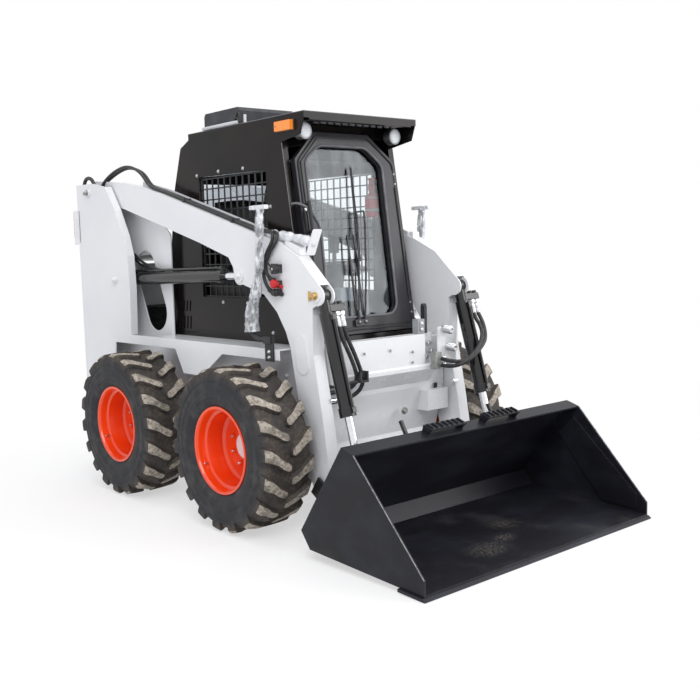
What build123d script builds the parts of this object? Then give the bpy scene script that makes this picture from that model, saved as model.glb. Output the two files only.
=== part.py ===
from build123d import *
from math import cos, hypot, radians, sin, tan
import os

# Skid steer loader. Millimetres, +Z up, the machine faces -Y, +X is the operator's left.
# The origin is on the ground, under the middle of the machine's length and width.
# Side views are written as (rearwards of the front axle, height above the ground).

# Running gear
WHEELBASE = 1055.0
TYRE_RADIUS = 416.0
TYRE_WIDTH = 302.0
WIDTH_OVER_TYRES = 1736.0
TREAD_CROWN = 30.0
TREAD_DROP = 34.0
SIDEWALL_BULGE = 14.0
LUG_HEIGHT = 22.0
LUG_COUNT = 18
LUG_THICKNESS = 46.0
LUG_SLANT = 70.0
LUG_ROOT = 16.0
RIM_RADIUS = 210.0
RIM_FLANGE = 11.0
RIM_WALL = 9.0
RIM_STEP = 14.0
RIM_DISC_INSET = 118.0
HUB_RADIUS = 62.0
HUB_DEPTH = 30.0
AXLE_TUBE_RADIUS = 70.0
SEAT_GAP = 0.3

# Lengths, from the bucket's edge back to the rear bumper
BUCKET_REACH = 945.0
PIN_FORWARD = 395.0
REAR_OVERHANG = 895.0
LENGTH = BUCKET_REACH + PIN_FORWARD + WHEELBASE + REAR_OVERHANG
FRONT_AXLE_Y = BUCKET_REACH + PIN_FORWARD - LENGTH / 2
REAR_AXLE_Y = FRONT_AXLE_Y + WHEELBASE
TAIL = WHEELBASE + REAR_OVERHANG

# Widths, from the tyres inwards, each as a distance from the middle
ARM_TYRE_GAP = 44.0
ARM_WIDTH = 72.0
TUB_ARM_GAP = 10.0
CAB_TUB_STEP = 43.0
TOWER_OVER_TYRE = 14.0
BUCKET_INSIDE_TYRES = 58.0
TYRE_INNER = WIDTH_OVER_TYRES / 2 - TYRE_WIDTH
ARM_OUTER = TYRE_INNER - ARM_TYRE_GAP
ARM_INNER = ARM_OUTER - ARM_WIDTH
TUB_HALF = ARM_INNER - TUB_ARM_GAP
CAB_HALF = TUB_HALF - CAB_TUB_STEP
SIDE_PLATE_HALF = TYRE_INNER + TOWER_OVER_TYRE
BUCKET_HALF = WIDTH_OVER_TYRES / 2 - BUCKET_INSIDE_TYRES
TYRE_MID = (WIDTH_OVER_TYRES - TYRE_WIDTH) / 2

# Heights
FENDER_CLEARANCE = 18.0
FENDER_DEPTH = 55.0
FENDER_UNDERSIDE = 2 * TYRE_RADIUS + FENDER_CLEARANCE
DECK_HEIGHT = FENDER_UNDERSIDE + FENDER_DEPTH
TUB_BOTTOM = 215.0
PIN_HEIGHT = 225.0
PIVOT_ABOVE_DECK = 891.0
CAB_TALL = 1167.0
ROOF_HEIGHT = DECK_HEIGHT + CAB_TALL

# Lift arms and their linkage
PIVOT_BEHIND_AXLE = 705.0
LIFT_BASE_BEHIND_AXLE = 408.0
LIFT_BASE_ABOVE_DECK = 338.0
LIFT_EYE_BEHIND = 225.0
LIFT_EYE_ABOVE_DECK = 360.0
TILT_BASE_ABOVE_DECK = 265.0
TILT_EYE_FORWARD = 217.0
TILT_EYE_UP = 175.0
ARM_PIVOT = (WHEELBASE + PIVOT_BEHIND_AXLE, DECK_HEIGHT + PIVOT_ABOVE_DECK)
LIFT_BASE = (WHEELBASE + LIFT_BASE_BEHIND_AXLE, DECK_HEIGHT + LIFT_BASE_ABOVE_DECK)
LIFT_EYE = (LIFT_EYE_BEHIND, DECK_HEIGHT + LIFT_EYE_ABOVE_DECK)
BUCKET_PIN = (-PIN_FORWARD, PIN_HEIGHT)
TILT_BASE = (-PIN_FORWARD, DECK_HEIGHT + TILT_BASE_ABOVE_DECK)
TILT_EYE = (-PIN_FORWARD - TILT_EYE_FORWARD, PIN_HEIGHT + TILT_EYE_UP)
ARM_PLATE = 8.0
BOSS_RADIUS = 50.0
LIFT_BARREL_RADIUS = 37.0
LIFT_ROD_RADIUS = 22.0
TILT_BARREL_RADIUS = 36.0
TILT_ROD_RADIUS = 20.0
EYE_RADIUS = 32.0
ROD_FIT = 0.3
CYLINDER_HALF = (ARM_INNER + ARM_OUTER) / 2
EYE_WIDTH = ARM_WIDTH - 2 * ARM_PLATE - 2 * SEAT_GAP

# Welded frame
PLATE = 8.0
TUB_FRONT = 322.0
TUB_NOSE = 640.0
TUB_SLOPE = 110.0
TUB_REAR = TAIL - 45
TOWER_REAR = TAIL - 23
FENDER_FRONT = 160.0
DECK_REAR = WHEELBASE + 105
TOW_EYE_SIDE = 300.0
TOW_EYE_PLATE = 16.0
TOW_EYE_RADIUS = 14.0
TOW_EYE_HEIGHT = 380.0
AXLE_END = TYRE_MID + TYRE_WIDTH / 2 - RIM_DISC_INSET - HUB_DEPTH - SEAT_GAP

# Bucket
BUCKET_SHEET = 9.0
BUCKET_SIDE_PLATE = 10.0
EDGE_OVERHANG = 12.0
EDGE_THICKNESS = 14.0
EDGE_DEPTH = 150.0
GROUND_GAP = 3.0
EDGE_HALF = BUCKET_HALF + EDGE_OVERHANG

# Cab
CAB_WALL = 36.0
CHEEK = 6.0
ROOF_THICKNESS = 34.0
DOOR_HALF = 354.0
DOOR_THICKNESS = 34.0
GLASS = 6.0
LEAN = radians(8.9)

os.makedirs("parts", exist_ok=True)

# Places that outlines are measured from, as (rearwards, height)
ANCHORS = {
    "ground": (0.0, 0.0),
    "front": (0.0, DECK_HEIGHT),
    "rear": (WHEELBASE, DECK_HEIGHT),
    "tail": (TAIL, DECK_HEIGHT),
    "pivot": ARM_PIVOT,
    "lift eye": LIFT_EYE,
    "tilt base": TILT_BASE,
    "pin": BUCKET_PIN,
    "edge": (-PIN_FORWARD - BUCKET_REACH, 0.0),
    "roof": (0.0, ROOF_HEIGHT),
}


def outline(rows):
    """Side-view points of a table whose columns are: anchor, rearwards of it, above it."""
    return [(ANCHORS[anchor][0] + rearwards, ANCHORS[anchor][1] + up) for anchor, rearwards, up in rows]


def along(rearwards):
    """Y of a place given by its distance behind the front axle."""
    return FRONT_AXLE_Y + rearwards


def at(point):
    """(Y, Z) of a point given as (rearwards of the front axle, height)."""
    return (along(point[0]), point[1])


def slab(points, low_x, high_x, mode=Mode.ADD):
    """Extrude a closed outline, seen from the side, between two values of X."""
    with BuildSketch(Plane.YZ.offset(low_x)) as face:
        with BuildLine():
            Polyline(*[at(point) for point in points], close=True)
        make_face()
    extrude(face.sketch, amount=high_x - low_x, mode=mode)


def block(low, high, mode=Mode.ADD):
    """Add a box from its lowest to its highest corner, Y given rearwards of the front axle."""
    with BuildSketch(Plane.XY.offset(low[2])) as face:
        with Locations(((low[0] + high[0]) / 2, along((low[1] + high[1]) / 2))):
            Rectangle(high[0] - low[0], high[1] - low[1])
    extrude(face.sketch, amount=high[2] - low[2], mode=mode)


def rod_x(point, radius, low_x, high_x, mode=Mode.ADD):
    """Add a round bar along X, centred on a point seen from the side."""
    with BuildSketch(Plane.YZ.offset(low_x)) as face:
        with Locations(at(point)):
            Circle(radius)
    extrude(face.sketch, amount=high_x - low_x, mode=mode)


def slot_x(start, end, radius, low_x, high_x, mode=Mode.SUBTRACT):
    """Cut or add a round-ended slot between two side-view points, running along X."""
    length, dy, dz = direction(start, end)
    plane = Plane(origin=(low_x, *at(start)), x_dir=(0, dy, dz), z_dir=(1, 0, 0))
    with BuildSketch(plane) as face:
        with Locations((length / 2, 0)):
            SlotCenterToCenter(length, 2 * radius)
    extrude(face.sketch, amount=high_x - low_x, mode=mode)


def rod_forward(x, point, radius, length, mode=Mode.ADD):
    """Add a round bar that runs forwards from a side-view point."""
    with BuildSketch(Plane.XZ.offset(-along(point[0]))) as face:
        with Locations((x, point[1])):
            Circle(radius)
    extrude(face.sketch, amount=length, mode=mode)


def mirrored(near, far, side):
    """The two X values, in order, of a piece between two distances from the middle."""
    return sorted((side * near, side * far))


def direction(start, end):
    """Length and unit vector from one side-view point to another."""
    length = hypot(end[0] - start[0], end[1] - start[1])
    return length, (end[0] - start[0]) / length, (end[1] - start[1]) / length


def tube(points, radius):
    """Round hose or bar through (X, rearwards, height) points, each bend as wide as its runs allow."""
    places = [Vector(x, along(rearwards), height) for x, rearwards, height in points]
    runs = [after - before for before, after in zip(places, places[1:])]
    bends = []
    for before, after in zip(runs, runs[1:]):
        half_turn = radians(before.get_angle(after)) / 2
        bends.append(0.45 * min(before.length, after.length) / tan(half_turn))
    with BuildPart(mode=Mode.PRIVATE) as hose:
        with BuildLine() as path:
            FilletPolyline(*places, radius=bends)
        with BuildSketch(Plane(origin=places[0], z_dir=runs[0])):
            Circle(radius)
        sweep(path=path.wires()[0])
    return hose.part


def save(part, name):
    """Label a finished piece and write it out."""
    part.label = name
    export_step(part, f"parts/{name}.step")


SIDES = [("right", -1), ("left", 1)]

# Wheels
CARCASS_RADIUS = TYRE_RADIUS - LUG_HEIGHT
BEAD_RADIUS = RIM_RADIUS + SEAT_GAP
BEAD_INSET = 26.0
SIDEWALL_TOP = CARCASS_RADIUS - TREAD_DROP
LUG_REACH = LUG_SLANT / 2 + LUG_THICKNESS * 0.65
LUG_TOP = (TYRE_RADIUS ** 2 - LUG_REACH ** 2) ** 0.5


def make_tyre():
    """One tyre with two staggered rows of slanting lugs, centred on the origin."""
    half = TYRE_WIDTH / 2
    lug_end = half - 3
    with BuildPart() as lugs:
        with BuildSketch(Plane.XY.offset(CARCASS_RADIUS - LUG_ROOT)):
            for row in (-1, 1):
                with BuildLine():
                    Polyline(
                        (row * lug_end, LUG_REACH - LUG_THICKNESS * 1.3),
                        (row * lug_end, LUG_REACH),
                        (row * lug_end * 0.55, LUG_THICKNESS * 0.62),
                        (row * 12, -LUG_SLANT / 2 + LUG_THICKNESS / 2),
                        (row * 4, -LUG_SLANT / 2),
                        (row * 12, -LUG_SLANT / 2 - LUG_THICKNESS / 2),
                        (row * lug_end * 0.55, -LUG_THICKNESS * 0.38),
                        close=True,
                    )
                make_face()
        extrude(amount=LUG_TOP - CARCASS_RADIUS + LUG_ROOT)
    left_lug = lugs.part.solids().sort_by(Axis.X)[0]
    right_lug = lugs.part.solids().sort_by(Axis.X)[-1]
    with BuildPart() as tyre:
        with BuildSketch(Plane.XY):
            with BuildLine():
                Polyline(
                    (-half + BEAD_INSET, BEAD_RADIUS),
                    (-half + BEAD_INSET, BEAD_RADIUS + RIM_FLANGE + 6),
                    (-half + SIDEWALL_BULGE, BEAD_RADIUS + RIM_FLANGE + 24),
                    (-half, (BEAD_RADIUS + SIDEWALL_TOP) / 2 + 20),
                    (-half + 3, SIDEWALL_TOP),
                    (-half + TREAD_CROWN, CARCASS_RADIUS),
                    (half - TREAD_CROWN, CARCASS_RADIUS),
                    (half - 3, SIDEWALL_TOP),
                    (half, (BEAD_RADIUS + SIDEWALL_TOP) / 2 + 20),
                    (half - SIDEWALL_BULGE, BEAD_RADIUS + RIM_FLANGE + 24),
                    (half - BEAD_INSET, BEAD_RADIUS + RIM_FLANGE + 6),
                    (half - BEAD_INSET, BEAD_RADIUS),
                    close=True,
                )
            make_face()
        revolve(axis=Axis.X)
        pitch = 360 / LUG_COUNT
        add([left_lug.rotate(Axis.X, number * pitch) for number in range(LUG_COUNT)]
            + [right_lug.rotate(Axis.X, (number + 0.5) * pitch) for number in range(LUG_COUNT)])
    return tyre.part


def make_rim(side):
    """One dished rim with its steps, disc and hub, centred on the origin; side is +1 or -1."""
    lip = TYRE_WIDTH / 2 - 18
    disc = TYRE_WIDTH / 2 - RIM_DISC_INSET
    barrel = RIM_RADIUS - RIM_WALL
    profile = [
        (lip, RIM_RADIUS + RIM_FLANGE), (lip, RIM_RADIUS - 3), (lip - 10, barrel),
        (lip - 48, barrel), (lip - 56, barrel - RIM_STEP), (disc + 24, barrel - RIM_STEP),
        (disc + 10, barrel - RIM_STEP - 16), (disc + 10, HUB_RADIUS + 34), (disc + 18, HUB_RADIUS + 22),
        (disc + 18, HUB_RADIUS), (disc + 58, HUB_RADIUS - 6), (disc + 62, 0),
        (disc - HUB_DEPTH, 0), (disc - HUB_DEPTH, HUB_RADIUS + 20), (disc, HUB_RADIUS + 30),
        (disc, barrel - RIM_STEP - 26), (-lip + 40, barrel - RIM_STEP - 6), (-lip, barrel),
        (-lip, RIM_RADIUS + RIM_FLANGE), (-lip + 7, RIM_RADIUS + RIM_FLANGE), (-lip + 7, RIM_RADIUS),
        (lip - 7, RIM_RADIUS), (lip - 7, RIM_RADIUS + RIM_FLANGE),
    ]
    with BuildPart() as rim:
        with BuildSketch(Plane.XY):
            with BuildLine():
                Polyline(*[(side * x, radius) for x, radius in profile], close=True)
            make_face()
        revolve(axis=Axis.X)
    return rim.part


# Columns: name, side, Y of the axle
WHEELS = [("front_right", -1, FRONT_AXLE_Y), ("front_left", 1, FRONT_AXLE_Y),
          ("rear_right", -1, REAR_AXLE_Y), ("rear_left", 1, REAR_AXLE_Y)]
TYRE = make_tyre()
RIM = {side: make_rim(side) for _, side in SIDES}
for name, side, axle_y in WHEELS:
    save(Pos(side * TYRE_MID, axle_y, TYRE_RADIUS) * TYRE, f"tyre_{name}")
    save(Pos(side * TYRE_MID, axle_y, TYRE_RADIUS) * RIM[side], f"rim_{name}")

# Tub of the frame: two side plates, floor, sloping front and the deck under the cab
FLOOR_FRONT = -TUB_FRONT + TUB_SLOPE
TUB_SIDE = [(-TUB_FRONT, TUB_NOSE), (FLOOR_FRONT, TUB_BOTTOM), (TUB_REAR - 90, TUB_BOTTOM),
            (TUB_REAR, TUB_BOTTOM + 90), (TUB_REAR, DECK_HEIGHT), (-TUB_FRONT, DECK_HEIGHT)]
with BuildPart() as frame_sides:
    for _, side in SIDES:
        slab(TUB_SIDE, *mirrored(TUB_HALF - PLATE, TUB_HALF, side))
save(frame_sides.part, "frame_sides")

INSIDE_TUB = TUB_HALF - PLATE - SEAT_GAP
with BuildPart() as frame_floor:
    block((-INSIDE_TUB, FLOOR_FRONT + PLATE, TUB_BOTTOM), (INSIDE_TUB, TUB_REAR - 90, TUB_BOTTOM + PLATE))
save(frame_floor.part, "frame_floor")

FRONT_TOP = DECK_HEIGHT - PLATE - SEAT_GAP
with BuildPart() as frame_front:
    slab([(-TUB_FRONT, TUB_NOSE), (FLOOR_FRONT, TUB_BOTTOM), (FLOOR_FRONT + PLATE - SEAT_GAP, TUB_BOTTOM),
          (-TUB_FRONT + PLATE, TUB_NOSE), (-TUB_FRONT + PLATE, FRONT_TOP), (-TUB_FRONT, FRONT_TOP)],
         -INSIDE_TUB, INSIDE_TUB)
save(frame_front.part, "frame_front")

with BuildPart() as deck:
    block((-INSIDE_TUB, -TUB_FRONT, DECK_HEIGHT - PLATE), (INSIDE_TUB, DECK_REAR, DECK_HEIGHT))
save(deck.part, "deck")

# Fenders over the tyres, with a tongue between them
FENDER_REAR = WHEELBASE - 5
FENDER_SKIRT = [("front", -FENDER_FRONT, 0), ("front", -FENDER_FRONT, -FENDER_DEPTH), ("front", 330, -FENDER_DEPTH),
                ("front", WHEELBASE / 2 + 7, -190), ("rear", -335, -190), ("rear", -255, -FENDER_DEPTH),
                ("rear", -5, -FENDER_DEPTH), ("rear", -5, 0)]
with BuildPart() as fenders:
    for _, side in SIDES:
        near, far = mirrored(TUB_HALF + SEAT_GAP, SIDE_PLATE_HALF, side)
        block((near, -FENDER_FRONT, DECK_HEIGHT - PLATE), (far, FENDER_REAR, DECK_HEIGHT))
        slab(outline(FENDER_SKIRT), *mirrored(SIDE_PLATE_HALF - PLATE, SIDE_PLATE_HALF, side))
save(fenders.part, "fenders")

with BuildPart() as axle_tubes:
    for _, side in SIDES:
        for axle in (0, WHEELBASE):
            rod_x((axle, TYRE_RADIUS), AXLE_TUBE_RADIUS + 26, *mirrored(TUB_HALF + SEAT_GAP, TUB_HALF + 22, side))
            rod_x((axle, TYRE_RADIUS), AXLE_TUBE_RADIUS, *mirrored(TUB_HALF + 22, AXLE_END, side))
save(axle_tubes.part, "axle_tubes")

# Rear bumper bar with two tie-down eyes
with BuildPart() as rear_bumper:
    block((-INSIDE_TUB, TUB_REAR - 16, TUB_BOTTOM + 90), (INSIDE_TUB, TUB_REAR, TUB_BOTTOM + 255))
    for low in (-TOW_EYE_SIDE - TOW_EYE_PLATE, TOW_EYE_SIDE):
        slab([(TUB_REAR, TOW_EYE_HEIGHT - 50), (TAIL, TOW_EYE_HEIGHT - 35), (TAIL, TOW_EYE_HEIGHT + 35),
              (TUB_REAR, TOW_EYE_HEIGHT + 50)], low, low + TOW_EYE_PLATE)
        rod_x((TUB_REAR + 22, TOW_EYE_HEIGHT), TOW_EYE_RADIUS, low, low + TOW_EYE_PLATE, Mode.SUBTRACT)
save(rear_bumper.part, "rear_bumper")

# Towers: outer plate, inner web with its slanting slot, bent front flange, rear plate and pin bosses
TOWER_FOOT = -455
TOWER_TOP = ("pivot", 167, 59)
TOWER_EDGE = [("pivot", -218, 24), ("rear", 377, 766), ("rear", 285, 604), ("rear", 243, 484), ("rear", 233, 275),
              ("rear", 245, 0)]
TOWER_FLANGE = 48.0
WEB_EDGE = [("pivot", -80, 54), ("rear", 30, 655), ("rear", -34, 600), ("rear", -28, 0)]
SLOT_TOP = ("rear", 270, 395)
SLOT_FOOT = ("rear", 160, 135)
SLOT_RADIUS = 115.0


def make_tower(side):
    """Rear upright that carries the arm pivot and the foot of the lift cylinder."""
    edge = outline(TOWER_EDGE)
    top = outline([TOWER_TOP])[0][1]
    foot = DECK_HEIGHT + TOWER_FOOT
    with BuildPart() as tower:
        slab([(TOWER_REAR, foot), (TOWER_REAR, top), (ARM_PIVOT[0] - 60, top - 5)] + edge
             + outline([("rear", -4, 0), ("rear", -4, -FENDER_DEPTH), ("rear", 445, -FENDER_DEPTH),
                        ("rear", 505, TOWER_FOOT)]),
             *mirrored(SIDE_PLATE_HALF - PLATE, SIDE_PLATE_HALF, side))
        slab([(TOWER_REAR, DECK_HEIGHT), (TOWER_REAR, top)] + outline(WEB_EDGE),
             *mirrored(TUB_HALF - PLATE, TUB_HALF, side))
        slot_x(*outline([SLOT_TOP, SLOT_FOOT]), SLOT_RADIUS, *mirrored(TUB_HALF - PLATE - 2, TUB_HALF + 2, side))
        slab([(TOWER_REAR, foot), (TOWER_REAR, top), (TOWER_REAR - PLATE, top), (TOWER_REAR - PLATE, foot)],
             *mirrored(TUB_HALF - PLATE, SIDE_PLATE_HALF, side))
        inner_edge = [(point[0] + PLATE, point[1] - 3) for point in reversed(edge)]
        slab(edge + inner_edge, *mirrored(SIDE_PLATE_HALF - TOWER_FLANGE, SIDE_PLATE_HALF, side))
        for point, far_face, near_face in ((ARM_PIVOT, ARM_OUTER, ARM_INNER),
                                           (LIFT_BASE, CYLINDER_HALF + EYE_WIDTH / 2, CYLINDER_HALF - EYE_WIDTH / 2)):
            rod_x(point, BOSS_RADIUS, *mirrored(far_face + SEAT_GAP, SIDE_PLATE_HALF, side))
            rod_x(point, BOSS_RADIUS - 22, *mirrored(SIDE_PLATE_HALF, SIDE_PLATE_HALF + 9, side))
            rod_x(point, BOSS_RADIUS, *mirrored(TUB_HALF - PLATE, near_face - SEAT_GAP, side))
    return tower.part


for name, side in SIDES:
    save(make_tower(side), f"tower_{name}")


def nose_at(height):
    """Place of the tub's sloping front at a height, with the seating gap in front of it."""
    return -TUB_FRONT - SEAT_GAP + max(0, TUB_NOSE - height) * TUB_SLOPE / (TUB_NOSE - TUB_BOTTOM)


# Front apron: bent sheet bolted over the front of the tub, with its ledge and slanting underside
APRON_HALF = INSIDE_TUB
APRON_FORWARD = 68.0
with BuildPart() as front_apron:
    slab([(-TUB_FRONT - SEAT_GAP, DECK_HEIGHT + 25), (-TUB_FRONT - APRON_FORWARD, DECK_HEIGHT + 25),
          (-TUB_FRONT - APRON_FORWARD, DECK_HEIGHT - 135), (-TUB_FRONT - APRON_FORWARD - 8, DECK_HEIGHT - 143),
          (-TUB_FRONT - APRON_FORWARD - 8, DECK_HEIGHT - 163), (-TUB_FRONT - SEAT_GAP, DECK_HEIGHT - 240)],
         -APRON_HALF, 318)
    block((225, -TUB_FRONT - APRON_FORWARD - 9, DECK_HEIGHT - 135), (319, -TUB_FRONT - 30, DECK_HEIGHT + 26), Mode.SUBTRACT)
    box_top, box_foot = TUB_NOSE - 20, TUB_NOSE - 130
    slab([(-TUB_FRONT - 46, box_foot), (-TUB_FRONT - 46, box_top), (nose_at(box_top), box_top),
          (nose_at(box_foot), box_foot)], 262, 424)
save(front_apron.part, "front_apron")

# Engine, one plain mass inside the rear of the tub
ENGINE_HALF = 250.0
with BuildPart() as engine:
    block((-ENGINE_HALF, WHEELBASE + 185, TUB_BOTTOM + PLATE + SEAT_GAP),
          (ENGINE_HALF, TUB_REAR - 125, DECK_HEIGHT + 145))
save(engine.part, "engine")

# Rear door with its grille, and the hood over the engine
KNUCKLE_RADIUS = 10.0
REAR_DOOR_HALF = TUB_HALF - 15
REAR_DOOR_FOOT = TUB_BOTTOM + 285
REAR_DOOR_TOP = DECK_HEIGHT + 425
REAR_HINGE_X = TUB_HALF + 2
REAR_HINGE = TOWER_REAR + KNUCKLE_RADIUS + SEAT_GAP
GRILLE_ROWS = 9
GRILLE_PITCH = 38.0
with BuildPart() as rear_door:
    block((-REAR_DOOR_HALF, TAIL - 40, REAR_DOOR_FOOT), (REAR_DOOR_HALF, TAIL, REAR_DOOR_TOP))
    grille_plane = Plane(origin=(0, along(TAIL), REAR_DOOR_TOP - 60 - GRILLE_ROWS * GRILLE_PITCH / 2),
                         x_dir=(-1, 0, 0), z_dir=(0, 1, 0))
    with BuildSketch(grille_plane):
        with GridLocations(REAR_DOOR_HALF - 15, GRILLE_PITCH, 2, GRILLE_ROWS):
            SlotOverall(REAR_DOOR_HALF - 75, 20)
    extrude(amount=-22, mode=Mode.SUBTRACT)
    block((-130, TAIL - 22, REAR_DOOR_FOOT + 110), (130, TAIL + 1, REAR_DOOR_FOOT + 230), Mode.SUBTRACT)
    block((-70, TAIL - 22, REAR_DOOR_FOOT + 160), (70, TAIL - 4, REAR_DOOR_FOOT + 185))
    for low in (REAR_DOOR_FOOT + 100, REAR_DOOR_TOP - 190):
        with BuildSketch(Plane.XY.offset(low)) as knuckle:
            with Locations((REAR_HINGE_X, along(REAR_HINGE))):
                Circle(KNUCKLE_RADIUS)
        extrude(knuckle.sketch, amount=90)
        block((REAR_DOOR_HALF - 10, REAR_HINGE - 5, low), (REAR_HINGE_X, REAR_HINGE + 5, low + 90))
save(rear_door.part, "rear_door")

HOOD_HALF = TUB_HALF - 15
HOOD_HINGE = (WHEELBASE + 145, DECK_HEIGHT + 509)
HOOD_SIDE = [("rear", 130, 495), ("tail", -10, 440), ("tail", -10, 470), ("rear", 130, 525)]
with BuildPart() as hood:
    slab(outline(HOOD_SIDE), -HOOD_HALF, HOOD_HALF)
    for _, side in SIDES:
        rod_x(HOOD_HINGE, 12, *mirrored(HOOD_HALF - 5, TUB_HALF - PLATE - SEAT_GAP, side))
    hood_length, hood_y, hood_z = direction(*outline([HOOD_SIDE[3], HOOD_SIDE[2]]))
    hood_top = Plane(origin=(0, *at(outline([HOOD_SIDE[3]])[0])), x_dir=(1, 0, 0), z_dir=(0, -hood_z, hood_y))
    with BuildSketch(hood_top):
        with Locations((0, hood_length / 2)):
            with GridLocations(GRILLE_PITCH, 1, 11, 1):
                SlotOverall(hood_length - 330, 20, rotation=90)
    extrude(amount=-14, mode=Mode.SUBTRACT)
save(hood.part, "hood")

# Lift arms: knee box, leg, round pivot ends, clevises, the raised pad and the pipe guard
ARM_SIDE = [
    ("pivot", 0, 75), ("pivot", -260, 50), ("pivot", -524, 8), ("pivot", -777, -53),
    ("front", 88, 581), ("front", -99, 533), ("front", -262, 455), ("tilt base", -34, 34),
    ("tilt base", -37, -24), ("tilt base", 37, -60), ("front", -355, -22), ("pin", -18, 346),
    ("pin", -62, 60), ("pin", -44, -44), ("pin", 44, -44), ("pin", 95, 75),
    ("front", -181, 9), ("front", -150, 83), ("front", -83, 180), ("front", 17, 265),
    ("lift eye", -42, -48), ("lift eye", 40, -30), ("lift eye", 55, 45), ("front", 320, 459),
    ("front", 388, 480), ("front", 595, 544), ("pivot", -342, -119), ("pivot", -60, -74),
    ("pivot", 0, -75),
]
LIFT_CLEVIS = [("lift eye", -90, -85), ("lift eye", 90, -85), ("lift eye", 90, 60), ("lift eye", -90, 60)]
TILT_CLEVIS = [("tilt base", -90, -92), ("tilt base", 47, -92), ("tilt base", 50, 52), ("tilt base", -90, 52)]
PIPE_GUARD = [("pivot", -480, 15), ("pivot", -480, 40), ("pivot", -777, -27), ("front", 88, 607), ("front", -60, 569),
              ("front", -60, 543), ("front", 88, 581), ("pivot", -777, -53)]
PAD_TOP = (-262.0, DECK_HEIGHT + 30)
PAD_FOOT = (-278.0, DECK_HEIGHT - 76)


def make_arm(side):
    """One lift arm with the clevises for its two cylinders."""
    with BuildPart() as arm:
        slab(outline(ARM_SIDE), *mirrored(ARM_INNER, ARM_OUTER, side))
        rod_x(ARM_PIVOT, 75, *mirrored(ARM_INNER, ARM_OUTER, side))
        rod_x(BUCKET_PIN, 62, *mirrored(ARM_INNER, ARM_OUTER, side))
        rod_x(TILT_BASE, 48, *mirrored(ARM_INNER, ARM_OUTER, side))
        rod_x(LIFT_EYE, 48, *mirrored(ARM_INNER, ARM_OUTER, side))
        slot = mirrored(ARM_INNER + ARM_PLATE, ARM_OUTER - ARM_PLATE, side)
        slab(outline(LIFT_CLEVIS), *slot, Mode.SUBTRACT)
        slab(outline(TILT_CLEVIS), *slot, Mode.SUBTRACT)
        for point, radius in ((LIFT_EYE, 36), (TILT_BASE, 30), (BUCKET_PIN, 34)):
            rod_x(point, radius, *mirrored(ARM_OUTER - 2, ARM_OUTER + 8, side))
        slot_x(PAD_TOP, PAD_FOOT, 46, *mirrored(ARM_OUTER - 2, ARM_OUTER + 4, side), Mode.ADD)
        slab(outline(PIPE_GUARD), *mirrored(ARM_INNER + 2, ARM_INNER + 8, side))
        if side > 0:
            plate_foot, plate_head = DECK_HEIGHT - 130, DECK_HEIGHT + 57
            block((300, -412, plate_foot), (ARM_INNER - 6, -404, plate_head))
            block((ARM_INNER - 14, -412, plate_foot), (ARM_INNER - 6, -330, plate_head))
            block((ARM_INNER - 14, -352, plate_foot), (ARM_INNER + 2, -330, plate_head))
    return arm.part


for name, side in SIDES:
    save(make_arm(side), f"arm_{name}")

CROSS_LOW = PIN_HEIGHT + 75
with BuildPart() as arm_cross:
    slab([(-PIN_FORWARD - 45, CROSS_LOW + 30), (-PIN_FORWARD - 30, CROSS_LOW + 130), (-PIN_FORWARD + 40, CROSS_LOW + 130),
          (-PIN_FORWARD + 50, CROSS_LOW), (-PIN_FORWARD - 25, CROSS_LOW)],
         -ARM_INNER + SEAT_GAP, ARM_INNER - SEAT_GAP)
save(arm_cross.part, "arm_cross")


def make_cylinder(side, start, end, neck, barrel_end, barrel_radius, rod_radius, reserve):
    """Barrel with its side pipe and rod of one cylinder; reserve is how far the rod can still slide in."""
    length, dy, dz = direction(start, end)
    middle = side * CYLINDER_HALF
    face = Plane(origin=(middle, *at(start)), x_dir=(1, 0, 0), z_dir=(0, dy, dz))
    pipe_out = barrel_radius + 9
    with BuildPart() as barrel:
        rod_x(start, EYE_RADIUS, middle - EYE_WIDTH / 2, middle + EYE_WIDTH / 2)
        with BuildSketch(face.offset(EYE_RADIUS * 0.8)):
            Circle(EYE_WIDTH / 2)
        extrude(amount=neck)
        with BuildSketch(face.offset(neck)):
            Circle(barrel_radius)
        extrude(amount=barrel_end - neck)
        with BuildSketch(face.offset(barrel_end - 46)):
            Circle(barrel_radius + 5)
        extrude(amount=46)
        for foot in (neck + 14, barrel_end - 40):
            with BuildSketch(face.offset(foot)):
                with Locations((0, pipe_out / 2)):
                    Rectangle(24, pipe_out + 20)
            extrude(amount=26)
        with BuildSketch(face.offset(neck + 30)):
            with Locations((0, pipe_out)):
                Circle(8)
        extrude(amount=barrel_end - neck - 50)
        with BuildSketch(face.offset(neck + 12)):
            Circle(rod_radius + ROD_FIT)
        extrude(amount=barrel_end, mode=Mode.SUBTRACT)
    with BuildPart() as rod:
        rod_x(end, EYE_RADIUS, middle - EYE_WIDTH / 2, middle + EYE_WIDTH / 2)
        with BuildSketch(face.offset(length - EYE_RADIUS * 0.8)):
            Circle(rod_radius)
        extrude(amount=-(length - EYE_RADIUS * 0.8 - neck - 12 - reserve))
    return barrel.part, rod.part


for name, side in SIDES:
    barrel, rod = make_cylinder(side, LIFT_BASE, LIFT_EYE, 60, 1060, LIFT_BARREL_RADIUS, LIFT_ROD_RADIUS, 10)
    save(barrel, f"lift_barrel_{name}")
    save(rod, f"lift_rod_{name}")
    barrel, rod = make_cylinder(side, TILT_BASE, TILT_EYE, 88, 590, TILT_BARREL_RADIUS, TILT_ROD_RADIUS, 95)
    save(barrel, f"tilt_barrel_{name}")
    save(rod, f"tilt_rod_{name}")

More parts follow.
